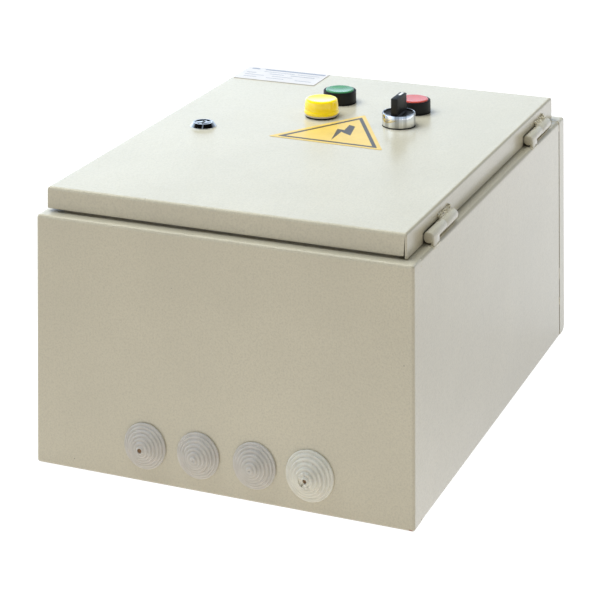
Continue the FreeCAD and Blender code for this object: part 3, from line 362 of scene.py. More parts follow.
# painted light: the weld beads get the sheet's paint 12 % lighter, to offset the shade between their lumps
BRIGHTENED_WELD_PAINT = paint("painted_weld", colour=shade(PAINT_COLOUR, 1.12))
WALL_PAINT = paint("painted_end_wall", END_WALL_RUST, contact_shadow=True)
WRAP_PAINT = paint("painted_wrap", WRAP_RUST, shaded_folds=True, contact_shadow=True)
BLACK = moulded("black_plastic", (30, 30, 29), rough=0.42, gloss=0.22)
CHARCOAL = moulded("charcoal_plastic", (40, 40, 39), rough=0.46, gloss=0.25)
GREEN = moulded("green_cap", (60, 138, 80), rough=0.25, depth=0.004, soft=0.1, coat=0.75, haze=0.25)
RED = moulded("red_cap", (206, 76, 58), rough=0.25, depth=0.004, soft=0.1, coat=0.75, haze=0.25)
PALE = moulded("pale_plastic", (226, 219, 202), rough=0.4, soft=0.2)
MARKER = moulded("marker_white", (232, 231, 224), rough=0.4)
YELLOW = lens("yellow_lens", (250, 218, 2))
RING_CHROME = chrome("ring_chrome", 0.45)
LOCK_CHROME = chrome("lock_chrome", 0.1)
ZINC = metal("zinc_steel", (200, 203, 206), rough=0.34, size=3, depth=0.006)
GALVANISED = galvanised("galvanised_plate")
CORE = metal("core_steel", (120, 120, 125), rough=0.42, size=0.5, stretch=(1, 30, 30), depth=0.08)
SPRING = metal("spring_steel", (150, 152, 156), rough=0.3)
BRASS = metal("brass", (212, 176, 108), rough=0.3)
COPPER = metal("copper_winding", (170, 86, 48), rough=0.35, size=0.5, stretch=(30, 30, 1), depth=0.1)
RUBBER = rubber("grommet_rubber", (206, 202, 195))
PALE_RUBBER = rubber("pale_rubber", (226, 224, 213))
BROWN = stain_and_shade("grommet_tip_plug", (150, 116, 84))
# painted shade: colour of the dark strip standing in for the shade in the far seam
SEAM_SHADE = stain_and_shade("seam_shade", (172, 160, 128))
FOAM = moulded("foam_gasket", (30, 30, 31), rough=0.85, grain=0.7, depth=0.12)
DARK = moulded("dark_plastic", (56, 58, 61), rough=0.5, grain=0.5, depth=0.03)
DEVICE = moulded("device_plastic", (216, 218, 215), rough=0.48, grain=0.5, depth=0.03)
TERMINAL = moulded("terminal_plastic", (150, 155, 157), rough=0.5)
EARTH = moulded("earth_green", (60, 140, 70), rough=0.5)
BLUE = moulded("blue_key", (38, 76, 150), rough=0.4)
RED_KEY = moulded("red_key", (190, 40, 38), rough=0.4)
WIRE = moulded("wire_black", (28, 28, 30), rough=0.38, grain=0.8, depth=0.01)
SLEEVE = moulded("harness_sleeve", (34, 34, 36), rough=0.5, grain=0.8, depth=0.02)
SIGN = film("sign_yellow", (220, 188, 102))
SIGN_INK = film("sign_ink", (78, 76, 74))
LABEL = film("label_white", (204, 199, 193))
LABEL_INK = film("label_ink", (124, 130, 144))


# ---- mesh helpers (millimetres)
def soften(points, closed=False, steps=4):
    """Outline of (u, v) or (u, v, radius) points with an arc at each corner that has a radius."""
    line = []
    count = len(points)
    for i, point in enumerate(points):
        here = Vector(point[:2])
        radius = point[2] if len(point) > 2 else 0.0
        if not radius or (not closed and i in (0, count - 1)):
            line.append(here)
            continue
        back = (Vector(points[i - 1][:2]) - here).normalized()
        ahead = (Vector(points[(i + 1) % count][:2]) - here).normalized()
        half = back.angle(ahead) / 2
        hub = here + (back + ahead).normalized() * radius / sin(half)
        first = here + back * radius / tan(half) - hub
        last = here + ahead * radius / tan(half) - hub
        turn = atan2(first.x * last.y - first.y * last.x, first.dot(last))
        for k in range(steps + 1):
            angle = turn * k / steps
            c, s = cos(angle), sin(angle)
            line.append(hub + Vector((first.x * c - first.y * s, first.x * s + first.y * c)))
    return line


def upright(x, y, z=0.0):
    return Matrix.Translation((x, y, z))


def along_y(x, y, z, toward=1):
    """Local Z runs along +Y (or -Y), local X stays X."""
    return Matrix.Translation((x, y, z)) @ Matrix.Rotation(radians(-90 * toward), 4, "X")


def across_y(y):
    """Local Z runs along -Y from y, local Y runs up, local X stays X."""
    return Matrix(((1, 0, 0, 0), (0, 0, -1, y), (0, 1, 0, 0), (0, 0, 0, 1)))


def skin(bm, rings, closed_rings=True, closed_path=False):
    """Quads between successive rings of vertices; a ring of one vertex is a pole."""
    pairs = list(zip(rings, rings[1:])) + ([(rings[-1], rings[0])] if closed_path else [])
    for a, b in pairs:
        count = max(len(a), len(b))
        for i in range(count if closed_rings else count - 1):
            j = (i + 1) % count
            corner = [a[i % len(a)], a[j % len(a)], b[j % len(b)], b[i % len(b)]]
            unique = list(dict.fromkeys(corner))
            if len(unique) > 2:
                bm.faces.new(unique)


def lathe(bm, profile, place, sides=72, closed=False, wobble=None):
    """Solid of revolution of (radius, height) points about the local Z axis of place."""
    rings = []
    for radius, height in profile:
        if radius < 1e-6:
            rings.append([bm.verts.new(place @ Vector((0, 0, height)))])
            continue
        ring = []
        for i in range(sides):
            angle = 2 * pi * i / sides
            r, h = wobble(radius, height, angle) if wobble else (radius, height)
            ring.append(bm.verts.new(place @ Vector((r * cos(angle), r * sin(angle), h))))
        rings.append(ring)
    skin(bm, rings, closed_path=closed)


def slab(bm, outline, z0, z1, place=Matrix(), bevel=0.0, steps=2):
    """Upright prism on a closed outline, all its edges rounded by bevel."""
    low = [bm.verts.new(place @ Vector((p[0], p[1], z0))) for p in outline]
    high = [bm.verts.new(place @ Vector((p[0], p[1], z1))) for p in outline]
    faces = [bm.faces.new(low[::-1]), bm.faces.new(high)]
    count = len(outline)
    for i in range(count):
        j = (i + 1) % count
        faces.append(bm.faces.new([low[i], low[j], high[j], high[i]]))
    if bevel:
        round_edges(bm, {e for f in faces for e in f.edges}, bevel, steps)


def round_edges(bm, edges, width, steps=2, least=30):
    """Rounds those edges whose faces meet at more than least degrees."""
    bm.normal_update()
    sharp = [
        e for e in edges
        if len(e.link_faces) == 2 and e.calc_face_angle(0.0) > radians(least)
    ]
    bmesh.ops.bevel(bm, geom=sharp, offset=width, segments=steps, affect="EDGES", profile=0.5)


def rectangle(x0, x1, y0, y1, radius=0.0, steps=3):
    return soften([(x0, y0, radius), (x1, y0, radius), (x1, y1, radius), (x0, y1, radius)], True, steps)


def bent_path(points, bend, steps=6):
    """Points along straight runs joined by arcs of radius bend."""
    points = [Vector(p) for p in points]
    line = [points[0]]
    for before, corner, after in zip(points, points[1:], points[2:]):
        back, ahead = (before - corner).normalized(), (after - corner).normalized()
        half = back.angle(ahead) / 2
        hub = corner + (back + ahead).normalized() * bend / sin(half)
        first = corner + back * bend / tan(half) - hub
        last = corner + ahead * bend / tan(half) - hub
        for k in range(steps + 1):
            line.append(hub + first.slerp(last, k / steps))
    line.append(points[-1])
    return line


def resample(line, pitch):
    """The same path with points about pitch apart."""
    out = [line[0]]
    for a, b in zip(line, line[1:]):
        count = max(1, round((b - a).length / pitch))
        out += [a.lerp(b, k / count) for k in range(1, count + 1)]
    return out


def tube(bm, line, radius, sides=12):
    """Closed tube along a path. radius is a number or a function of (length so far, angle)."""
    tangents = [(b - a).normalized() for a, b in zip(line, line[1:])]
    tangents.append(tangents[-1])
    side = tangents[0].orthogonal().normalized()
    rings, run = [], 0.0
    for i, point in enumerate(line):
        run += (point - line[i - 1]).length if i else 0.0
        ahead = tangents[i] if i == 0 else (tangents[i - 1] + tangents[i]).normalized()
        side = (side - ahead * side.dot(ahead)).normalized()
        other = ahead.cross(side)
        ring = []
        for k in range(sides):
            angle = 2 * pi * k / sides
            r = radius(run, angle) if callable(radius) else radius
            ring.append(bm.verts.new(point + (side * cos(angle) + other * sin(angle)) * r))
        rings.append(ring)
    skin(bm, rings)
    bm.faces.new(rings[0][::-1])
    bm.faces.new(rings[-1])


def piece(name, bm, materials, body=None, stands_for=(), smooth=38):
    """Stores a mesh drawn in millimetres as an object in metres that rides on a body."""
    bmesh.ops.recalc_face_normals(bm, faces=bm.faces)
    mesh = bpy.data.meshes.new(name)
    bm.to_mesh(mesh)
    bm.free()
    mesh.transform(Matrix.Scale(MM, 4))
    mesh.shade_smooth()
    mesh.set_sharp_from_angle(angle=radians(smooth))
    for material in materials if isinstance(materials, (list, tuple)) else [materials]:
        mesh.materials.append(material)
    obj = bpy.data.objects.new(name, mesh)
    bpy.context.scene.collection.objects.link(obj)
    if body:
        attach(obj, body)
    if stands_for:
        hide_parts(*stands_for)
    return obj


def tint(bm, earlier, index):
    """Gives every face that isn't among the earlier ones the material slot index."""
    for face in bm.faces:
        if face not in earlier:
            face.material_index = index


def softened(node, body, material, width=0.35, least=40):
    """Moulded or pressed part as designed, with its edges slightly rounded."""
    bm = bmesh.new()
    bm.from_mesh(NODES[node].data)
    bmesh.ops.scale(bm, vec=(1 / MM,) * 3, verts=bm.verts)
    bmesh.ops.remove_doubles(bm, verts=bm.verts, dist=0.002)
    bmesh.ops.dissolve_limit(bm, angle_limit=radians(0.5), verts=bm.verts, edges=bm.edges)
    round_edges(bm, bm.edges, width, 2, least)
    return piece(node.replace("_", "-"), bm, material, body, [node])


# ---- hinges
HINGE_X = middle("hinge_pins").x
HINGE_Z = middle("hinge_pins").z
KNUCKLE_R = 4.2
PIN_R = 2.5
LEAF_L = 14.0      # body leaf, along Y
DOOR_BEADS = 6     # short beads across the foot of each door leaf
FAR_OFF = 10.0     # more than the gap between the two halves of a hinge


def hinge_spans():
    """(near end, meeting line, far end) along Y of each hinge, from the design's own leaves."""
    spans = []
    body_ys = sorted(v.co.y / MM for v in NODES["hinge_body_leaves"].data.vertices)
    door_ys = sorted(v.co.y / MM for v in NODES["hinge_door_leaves"].data.vertices)
    for low, high in ((body_ys[0], 0), (0, body_ys[-1])):
        own = [y for y in body_ys if low <= y <= high]
        near, meet = own[0], own[-1]
        far = min(y for y in door_ys if y > meet + FAR_OFF)
        spans.append((near, meet, far))
    return spans


def weld_bead(bm, start, end, radius, seed, pitch=2.2, lumps=0.35):
    """Rippled weld bead with a lumpy crown."""
    line = resample([Vector(start), Vector(end)], 0.45)
    length = (line[-1] - line[0]).length

    def section(run, angle):
        ends = min(1.0, run / 1.5, (length - run) / 1.5)
        ripple = 0.16 * abs(sin(pi * run / pitch))
        spot = Vector((run * 0.4, 1.3 * cos(angle), seed + 1.3 * sin(angle)))
        lump = lumps * (noise.noise(spot) + 0.5 * noise.noise(spot * 2.3))
        return radius * (0.25 + 0.75 * sqrt(max(0.0, ends))) * (0.9 + ripple + lump)

    tube(bm, line, section, 14)


def barrel(bm, y0, y1, open_end):
    """Painted knuckle from y0 to y1, closed and rounded at one end, bored at the other."""
    toward = 1 if open_end > 0 else -1
    start, length = (y0, y1 - y0) if toward > 0 else (y1, y1 - y0)
    profile = soften([
        (0, 0), (KNUCKLE_R, 0, 1.1), (KNUCKLE_R, length, 0.35), (PIN_R + 0.05, length), (PIN_R + 0.05, 2),
        (0, 2),
    ])
    lathe(bm, profile, along_y(HINGE_X, start, HINGE_Z, toward), 40)


def body_leaf(bm, near, meet, seed):
    """Knuckle and leaf on the box, with beads along the leaf's foot and at both its ends."""
    barrel(bm, near, meet, 1)
    leaf_x = HINGE_X + KNUCKLE_R
    leaf = soften([
        (leaf_x - 2.4, RIM_Z + 1), (leaf_x - 2.2, HINGE_Z), (leaf_x - 0.05, HINGE_Z),
        (leaf_x + 0.1, RIM_Z + 1), (leaf_x - 0.3, RIM_Z - 0.6),
    ], True)
    slab(bm, leaf, 0.2, LEAF_L - 0.2, across_y(near + LEAF_L), 0.4)
    foot_z = RIM_Z - 0.2
    far = near + LEAF_L
    plain = set(bm.faces)
    weld_bead(bm, (SIDE_X - 0.8, near - 1.5, foot_z), (SIDE_X - 0.8, far + 1, foot_z), 1.0, 3.0 + seed)
    weld_bead(bm, (SIDE_X - 3.0, near - 0.2, foot_z + 1.2), (SIDE_X - 0.7, near - 0.2, foot_z - 0.5),
              1.1, 5.0)
    weld_bead(bm, (SIDE_X - 1.4, far - 1, foot_z + 1.5), (SIDE_X - 1.6, far + 2, foot_z + 1.0),
              0.9, 7.0 + seed)
    tint(bm, plain, 1)


def door_leaf(bm, meet, far, seed):
    """Knuckle and foot on the door, with one long bead and a crumpled row of short ones."""
    start = meet + 0.3
    barrel(bm, start, far, -1)
    door_x = DOOR_HIGH.x
    foot = [
        (door_x - 0.4, HINGE_Z + 0.3), (HINGE_X, HINGE_Z - 0.8), (HINGE_X + 0.6, HINGE_Z + 4.0),
        (door_x - 0.4, HINGE_Z + 4.0),
    ]
    slab(bm, foot, 0, far - start - 2.6, across_y(far - 1.6), 0.4)
    top_z = HINGE_Z + 3.4
    plain = set(bm.faces)
    weld_bead(bm, (door_x + 1.3, start + 0.3, top_z), (door_x + 1.0, far + 1.0, top_z),
              1.7, 11 + seed, 3.1, 1.1)
    for k in range(DOOR_BEADS):
        y = start + 2 + (far - start - 3) * k / (DOOR_BEADS - 1)
        z = top_z + 2.0 + 0.9 * noise.noise(Vector((k * 1.7, seed, 0.5)))
        weld_bead(bm, (door_x + 0.5, y - 2.2, z), (door_x + 0.3, y + 2.2, z + 0.5),
                  1.1, 17 + seed + k, 2.4, 1.2)
    tint(bm, plain, 1)


def hinges():
    body_bm, door_bm = bmesh.new(), bmesh.new()
    for i, (near, meet, far) in enumerate(hinge_spans()):
        body_leaf(body_bm, near, meet, i)
        door_leaf(door_bm, meet, far, i)
    looks = [PAINT, BRIGHTENED_WELD_PAINT]
    piece("hinge-body-half", body_bm, looks, "enclosure", ["hinge_body_leaves"], 50)
    piece("hinge-door-half", door_bm, looks, "door", ["hinge_door_leaves"], 50)


hinges()


# ---- welds on the box
BODY_TOP = 186.0                                          # rim of the box above the floor
TACKS = ((27.5, 34.2, 0.85, 31), (49.5, 60.0, 0.6, 41))   # low Z, high Z, radius and seed
RIM_FILLER = ((16.0, 0.9), (1.7, 0.9), (1.2, 8.0))        # points in from the side, below the rim
# heights of the painted seam shade
SEAM_SHADE_Z = (58, 177)


def box_welds():
    """Tacks and a rim filler where the far end wall meets the folded sheet, beads at the near
    corners of the rim, and a dark strip of painted shade in the open part of the far seam."""
    bm = bmesh.new()
    seam_y = WRAP_FAR_Y + 1.1
    for s in (-1, 1):
        x = s * (SIDE_X - 0.45)
        for z0, z1, radius, seed in TACKS:
            weld_bead(bm, (x, seam_y, z0), (x, seam_y, z1), radius, seed + x)
        rim = [(s * (SIDE_X - inset), seam_y, BODY_TOP - drop) for inset, drop in RIM_FILLER]
        tube(bm, resample(bent_path(rim, 1.2), 0.8), 1.25, 14)
        near = WRAP_NEAR_Y
        weld_bead(bm, (s * (SIDE_X - 2.6), near - 2.0, BODY_TOP - 0.8),
                  (s * (SIDE_X - 1.0), near + 2.5, BODY_TOP - 1.4), 0.9, 51 + x)
        weld_bead(bm, (s * (SIDE_X - 0.8), near - 0.5, BODY_TOP - 1.6),
                  (s * (SIDE_X - 0.6), near + 0.5, BODY_TOP - 7.0), 0.7, 57 + x)
    piece("end-wall-welds", bm, BRIGHTENED_WELD_PAINT, "enclosure", (), 60)
    bm = bmesh.new()
    # painted shade: thin dark strips on the far wall of each open seam
    for s in (-1, 1):
        x0, x1 = sorted((s * (SIDE_X - 1.6), s * (SIDE_X - 0.15)))
        slab(bm, rectangle(x0, x1, WRAP_FAR_Y + 1.5, WRAP_FAR_Y + 2.15), *SEAM_SHADE_Z)
    piece("seam-shade", bm, SEAM_SHADE, "enclosure", (), 60)


box_welds()


# ---- control units on the door
THREAD_PITCH = 1.5
BARREL_R = 11.0


def threaded_barrel(bm, at, z0, z1, bore):
    """Threaded plastic tube under the door with a plain lead-in at its lower end."""
    def thread(radius, height, angle):
        phase = ((height - z0) / THREAD_PITCH + angle / (2 * pi)) % 1.0
        deep = 0.55 * min(1.0, (height - z0) / 3.0) * (1 - abs(2 * phase - 1))
        return radius - (0.15 + deep if radius > bore else 0.0), height

    rows = int((z1 - z0) / THREAD_PITCH * 4)
    outside = [(BARREL_R, z0 + (z1 - z0) * row / rows) for row in range(rows + 1)]
    profile = outside + [(bore, z1), (bore, z0)]
    lathe(bm, profile, upright(at.x, at.y), 48, closed=True, wobble=thread)


def button_bezels():
    """Black bezels: a round well for the cap above a narrow guide for its plunger."""
    bm = bmesh.new()
    top = corners("push_button_bezels")[1].z
    profile = soften([
        (8.0, GASKET_TOP), (BEZEL_R - 0.4, GASKET_TOP), (BEZEL_R, GASKET_TOP + 0.6, 0.4),
        (BEZEL_R - 0.1, top, 0.6), (12.75, top, 0.3), (12.65, GASKET_TOP + 2.2), (8.0, GASKET_TOP + 2.2),
    ], True)
    guide = [(4.05, BARREL_Z), (8.1, BARREL_Z), (8.1, BARREL_Z + 5.6), (4.05, BARREL_Z + 5.6)]
    for at in (START, STOP):
        lathe(bm, profile, upright(at.x, at.y), 96, closed=True)
        lathe(bm, guide, upright(at.x, at.y), 48, closed=True)
        threaded_barrel(bm, at, BARREL_Z, GASKET_TOP, 8.0)
    piece("button-bezels", bm, BLACK, "door", ["push_button_bezels"])


def button_cap(name, node, body, material, dish):
    """Push cap: rounded rim, flat or slightly dished face, plunger running into the barrel."""
    bm = bmesh.new()
    low, high = corners(node)
    at, top = middle(node), high.z
    face = [(9.4, top - dish * 0.15), (6.0, top - dish * 0.7), (3.0, top - dish), (0, top - dish * 1.1)]
    profile = soften([
        (0, top - 5.0), (3.9, top - 5.0), (3.9, top - 4.0), (12.2, top - 4.0, 0.3), (12.3, top, 1.0),
        (10.8, top, 0.8),
    ] + face, steps=5)
    lathe(bm, profile, upright(at.x, at.y), 96)
    lathe(bm, [(0, low.z), (3.4, low.z), (3.9, low.z + 0.6), (3.9, top - 4.0), (0, top - 4.0)],
          upright(at.x, at.y), 32)
    piece(name, bm, material, body, [node])


def coil(name, node, body, wire, turns):
    """Compression spring of round wire over the length of its part."""
    bm = bmesh.new()
    low, high = corners(node)
    at = middle(node)
    mean = (high.x - low.x) / 2 - wire
    z0, z1 = low.z + wire, high.z - wire
    line = []
    steps = int(turns * 28)
    for i in range(steps + 1):
        t = i / steps
        angle = 2 * pi * turns * t
        z = z0 + (z1 - z0) * t
        line.append(Vector((at.x + mean * cos(angle), at.y + mean * sin(angle), z)))
    tube(bm, line, wire, 8)
    spring = piece(name, bm, SPRING, body, [node], 60)
    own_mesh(spring)


def selector():
    """Chrome ring round a black disc with a thin upright grip and a white pointer strip."""
    x, y, top = SELECTOR.x, SELECTOR.y, corners("selector_bezel")[1].z
    bm = bmesh.new()
    inner = RING_R - 1.45
    ring = soften([
        (inner, GASKET_TOP), (RING_R - 0.2, GASKET_TOP), (RING_R, GASKET_TOP + 0.5), (RING_R, top - 0.7),
        (RING_R - 0.3, top, 0.35), (inner + 0.25, top, 0.25), (inner, top - 1.0),
    ], True)
    lathe(bm, ring, upright(x, y), 160, closed=True)
    piece("selector-ring", bm, RING_CHROME, "door", ())
    bm = bmesh.new()
    seat = [(4.05, GASKET_TOP), (inner, GASKET_TOP), (inner, GASKET_TOP + 2), (4.05, GASKET_TOP + 2)]
    lathe(bm, seat, upright(x, y), 64, closed=True)
    threaded_barrel(bm, SELECTOR, BARREL_Z, GASKET_TOP, 8.0)
    piece("selector-barrel", bm, BLACK, "door", ["selector_bezel"])

    knob_low, knob_high = corners("selector_knob")
    disc_top = top - 1.0
    bm = bmesh.new()
    disc = soften([
        (0, disc_top - 3), (inner - 0.4, disc_top - 3), (inner - 0.1, disc_top, 0.4),
        (10.8, disc_top - 0.1), (6.0, disc_top - 0.7), (0, disc_top - 0.8),
    ])
    lathe(bm, disc, upright(x, y), 96)
    stem = [(0, knob_low.z), (3.9, knob_low.z), (3.9, disc_top - 3), (0, disc_top - 3)]
    lathe(bm, stem, upright(x, y), 32)
    blade_half, blade_w, foot_half = 11.5, 5.8, 10.6
    blade_top = knob_high.z
    side = [
        (-blade_half, disc_top - 1.5), (blade_half, disc_top - 1.5), (blade_half, blade_top, 0.8),
        (-blade_half, blade_top, 0.8),
    ]
    turned = Matrix(((0, 0, 1, x - blade_w / 2), (1, 0, 0, y), (0, 1, 0, 0), (0, 0, 0, 1)))
    slab(bm, soften(side, True), 0, blade_w, turned, 0.3)
    for s in (-1, 1):
        fillet = [(0, 0), (1.1, 0), (0.45, 0.25), (0.12, 0.75), (0, 1.6)]
        foot_x = x + s * (blade_w / 2 - 0.05)
        turned = Matrix(((s, 0, 0, foot_x), (0, 0, 1, y - foot_half), (0, 1, 0, disc_top - 0.35),
                         (0, 0, 0, 1)))
        slab(bm, fillet, 0, 2 * foot_half, turned)
    piece("selector-grip", bm, CHARCOAL, "selector", ["selector_knob"])

    bm = bmesh.new()
    marker_low, marker_high = corners("selector_marker")
    strip = rectangle(x - 1.1, x + 1.1, marker_low.y + 0.4, marker_high.y - 1.3, 0.5)
    slab(bm, strip, marker_high.z - 1, marker_high.z + 0.06, bevel=0.05)
    piece("selector-pointer", bm, MARKER, "selector", ["selector_marker"])


def lamp():
    """Ribbed lens on a pale collar and a thin black flange."""
    x, y = LAMP.x, LAMP.y
    base_top = corners("lamp_base")[1].z
    collar_top = corners("lamp_collar")[1].z
    top = corners("lamp_lens")[1].z
    bm = bmesh.new()
    flange = soften([(9, DOOR_Z), (13.4, DOOR_Z), (13.75, base_top, 0.3), (9, base_top)], True)
    lathe(bm, flange, upright(x, y), 96, closed=True)
    threaded_barrel(bm, LAMP, BARREL_Z, DOOR_Z, 9.0)
    piece("lamp-flange", bm, BLACK, "door", ["lamp_base"])
    bm = bmesh.new()
    collar = soften([(9, base_top), (13.8, base_top, 0.3), (14.05, collar_top, 0.4), (9, collar_top)], True)
    lathe(bm, collar, upright(x, y), 96, closed=True)
    piece("lamp-ring", bm, PALE, "door", ["lamp_collar"])

    def ribs(radius, height, angle):
        flute = 0.07 * (1 - abs(sin(24 * angle))) if collar_top + 3 < height < top - 1.6 else 0.0
        return radius - (flute if radius > 12.4 else 0.0), height

    bm = bmesh.new()
    z = collar_top
    profile = soften([
        (12.2, z), (14.2, z), (14.8, z + 0.9, 0.6), (14.8, z + 2.5, 0.7), (14.25, z + 3.3, 0.4),
        (14.35, z + 5.2), (14.2, z + 7.2), (13.75, top - 2.4, 0.6), (13.3, top, 2.1), (11.4, top, 0.4),
        (11.0, top - 0.1), (0, top - 0.04), (0, top - 1.6), (12.2, top - 1.8), (12.2, z),
    ], steps=5)
    lathe(bm, profile, upright(x, y), 144, wobble=ribs)
    piece("lamp-cap", bm, YELLOW, "door", ["lamp_lens"])


def lock():
    """Chromed cone of the cam lock with its key plug."""
    low, high = corners("lock_housing")
    x, y, top = LOCK.x, LOCK.y, high.z
    bm = bmesh.new()
    profile = soften([
        (6.55, low.z), (9.7, low.z), (10.0, low.z + 0.4), (10.0, DOOR_Z), (10.9, DOOR_Z),
        (11.0, DOOR_Z + 0.7, 0.25), (8.45, top, 0.45), (7.0, top, 0.3), (6.6, top - 0.5), (6.55, top - 1),
    ], True, 5)
    lathe(bm, profile, upright(x, y), 128, closed=True)
    piece("lock-cone", bm, LOCK_CHROME, "door", ["lock_housing"], 30)
    core_low, core_high = corners("lock_core")
    bm = bmesh.new()
    radius = 6.45
    half = 1.1          # of the key slot's width
    reach = sqrt(radius**2 - half**2)
    for side in (-1, 1):
        outline = [(side * half, -reach), (side * half, reach)]
        for k in range(1, 24):
            angle = radians(90 - 180 * k / 24)
            outline.append((side * max(half, radius * cos(angle)), radius * sin(angle)))
        slab(bm, outline, core_low.z + 6, core_high.z, upright(x, y), 0.18)
    for s in (-1, 1):
        end = rectangle(-half, half, min(s * 4.2, s * reach), max(s * 4.2, s * reach))
        slab(bm, end, core_low.z + 6, core_high.z, upright(x, y))
    middle_half = radius * 0.7
    floor = rectangle(-middle_half, middle_half, -middle_half, middle_half)
    slab(bm, floor, core_low.z + 5, core_low.z + 12, upright(x, y))
    slab(bm, rectangle(-4, 4, -4, 4, 0.4), core_low.z, core_low.z + 6, upright(x, y), 0.3)
    piece("lock-plug", bm, LOCK_CHROME, "lock", ["lock_core"], 30)


def ring_nuts():
    """Ribbed ring nuts that clamp the control units."""
    low, high = corners("control_nuts")
    bm = bmesh.new()

    def ribs(radius, height, angle):
        return radius - (0.45 if radius > 12 and sin(18 * angle) > 0 else 0.0), height

    profile = soften([
        (BARREL_R, low.z), (12.6, low.z), (13.2, low.z + 0.6), (13.2, high.z - 0.2),
        (BARREL_R, high.z - 0.2),
    ], True)
    for at in (START, STOP, LAMP, SELECTOR):
        lathe(bm, profile, upright(at.x, at.y), 144, closed=True, wobble=ribs)
    piece("ring-nuts", bm, DARK, "door", ["control_nuts"], 30)


button_bezels()
button_cap("start-button", "start_cap", "start_button", GREEN, 0.55)
button_cap("stop-button", "stop_cap", "stop_button", RED, 0.12)
coil("start-return-spring", "start_spring", "door", 0.5, 5)
coil("stop-return-spring", "stop_spring", "door", 0.5, 5)
coil("carrier-return-spring", "contactor_spring", "enclosure", 0.5, 4)
selector()
lamp()
lock()
ring_nuts()


# ---- stickers
SIGN_CORNER_R = 1.0
BAND_OUTER = 12.5           # how much shorter the band's sides are than the sign's
BAND_INNER = 23.5
BAND_SHIFT = (0.6, -0.5)    # the print is a little off centre


def hazard_sign():
    """Yellow triangle with an inset dark band and a plain zigzag, with no lettering."""
    top = corners("hazard_sticker")[1].z
    points = [v.co.xy / MM for v in NODES["hazard_sticker"].data.vertices]
    aims = [Vector((cos(radians(a)), sin(radians(a)))) for a in (90, 210, 330)]
    tips = [max(points, key=aim.dot) for aim in aims]
    centre = (tips[0] + tips[1] + tips[2]) / 3
    turn = atan2(*(tips[0] - centre).yx) - pi / 2
    side = ((tips[1] - centre).length + SIGN_CORNER_R) * sqrt(3)
    place = upright(centre.x, centre.y) @ Matrix.Rotation(turn, 4, "Z")
    bm = bmesh.new()

    def triangle(length, radius, shift=(0.0, 0.0)):
        reach = length / sqrt(3)
        tips = [(shift[0] + reach * aim.x, shift[1] + reach * aim.y, radius) for aim in aims]
        return soften(tips, True, 5)

    slab(bm, triangle(side, SIGN_CORNER_R), DOOR_Z, top, place, 0.06, 1)
    plain = set(bm.faces)
    outer = triangle(side - BAND_OUTER, 0.6, BAND_SHIFT)
    inner = triangle(side - BAND_INNER, 0.3, BAND_SHIFT)
    low_z, high_z = top - 0.05, top + 0.03
    rings = []
    for outline, height in ((outer, low_z), (outer, high_z), (inner, high_z), (inner, low_z)):
        rings.append([bm.verts.new(place @ Vector((p.x, p.y, height))) for p in outline])
    skin(bm, rings)
    zigzag = [
        (-0.9, 25.7), (5.3, 23.2), (11.4, -2.1), (3.0, 3.0), (0.5, 5.0), (1.7, -19.8), (-5.7, 11.4),
        (1.0, 10.5),
    ]
    slab(bm, zigzag, low_z, high_z, place)
    tint(bm, plain, 1)
    piece("hazard-sign", bm, [SIGN, SIGN_INK], "door", ["hazard_sticker"])


def name_label():
    """White label with plain pale bars where writing would be."""
    low, high = corners("nameplate")
    bm = bmesh.new()
    slab(bm, rectangle(low.x, high.x, low.y, high.y, 1.2), DOOR_Z, high.z, bevel=0.06, steps=1)
    plain = set(bm.faces)
    width = high.x - low.x
    rows = (
        (0.87, 3.0, ((0.05, 0.15), (0.22, 0.97))), (0.70, 1.0, ((0.24, 0.62), (0.66, 0.93))),
        (0.55, 1.2, ((0.05, 0.17), (0.34, 0.52), (0.60, 0.90))), (0.38, 1.0, ((0.06, 0.30), (0.40, 0.66))),
        (0.22, 1.0, ((0.08, 0.24), (0.36, 0.58), (0.72, 0.92))),
    )
    for share, thick, bars in rows:
        y = low.y + (high.y - low.y) * share
        for a, b in bars:
            bar = rectangle(low.x + width * a, low.x + width * b, y - thick / 2, y + thick / 2, thick * 0.4)
            slab(bm, bar, high.z - 0.05, high.z + 0.02)
    tint(bm, plain, 1)
    piece("name-label", bm, [LABEL, LABEL_INK], "door", ["nameplate"])


hazard_sign()
name_label()


# ---- cable grommets
TORN_SIDE = radians(215)
GROMMET_PITCH = 43.0        # from the first grommet to the second
TIP_MARGIN = 0.6            # a grommet's body ends this far short of its tip's rim


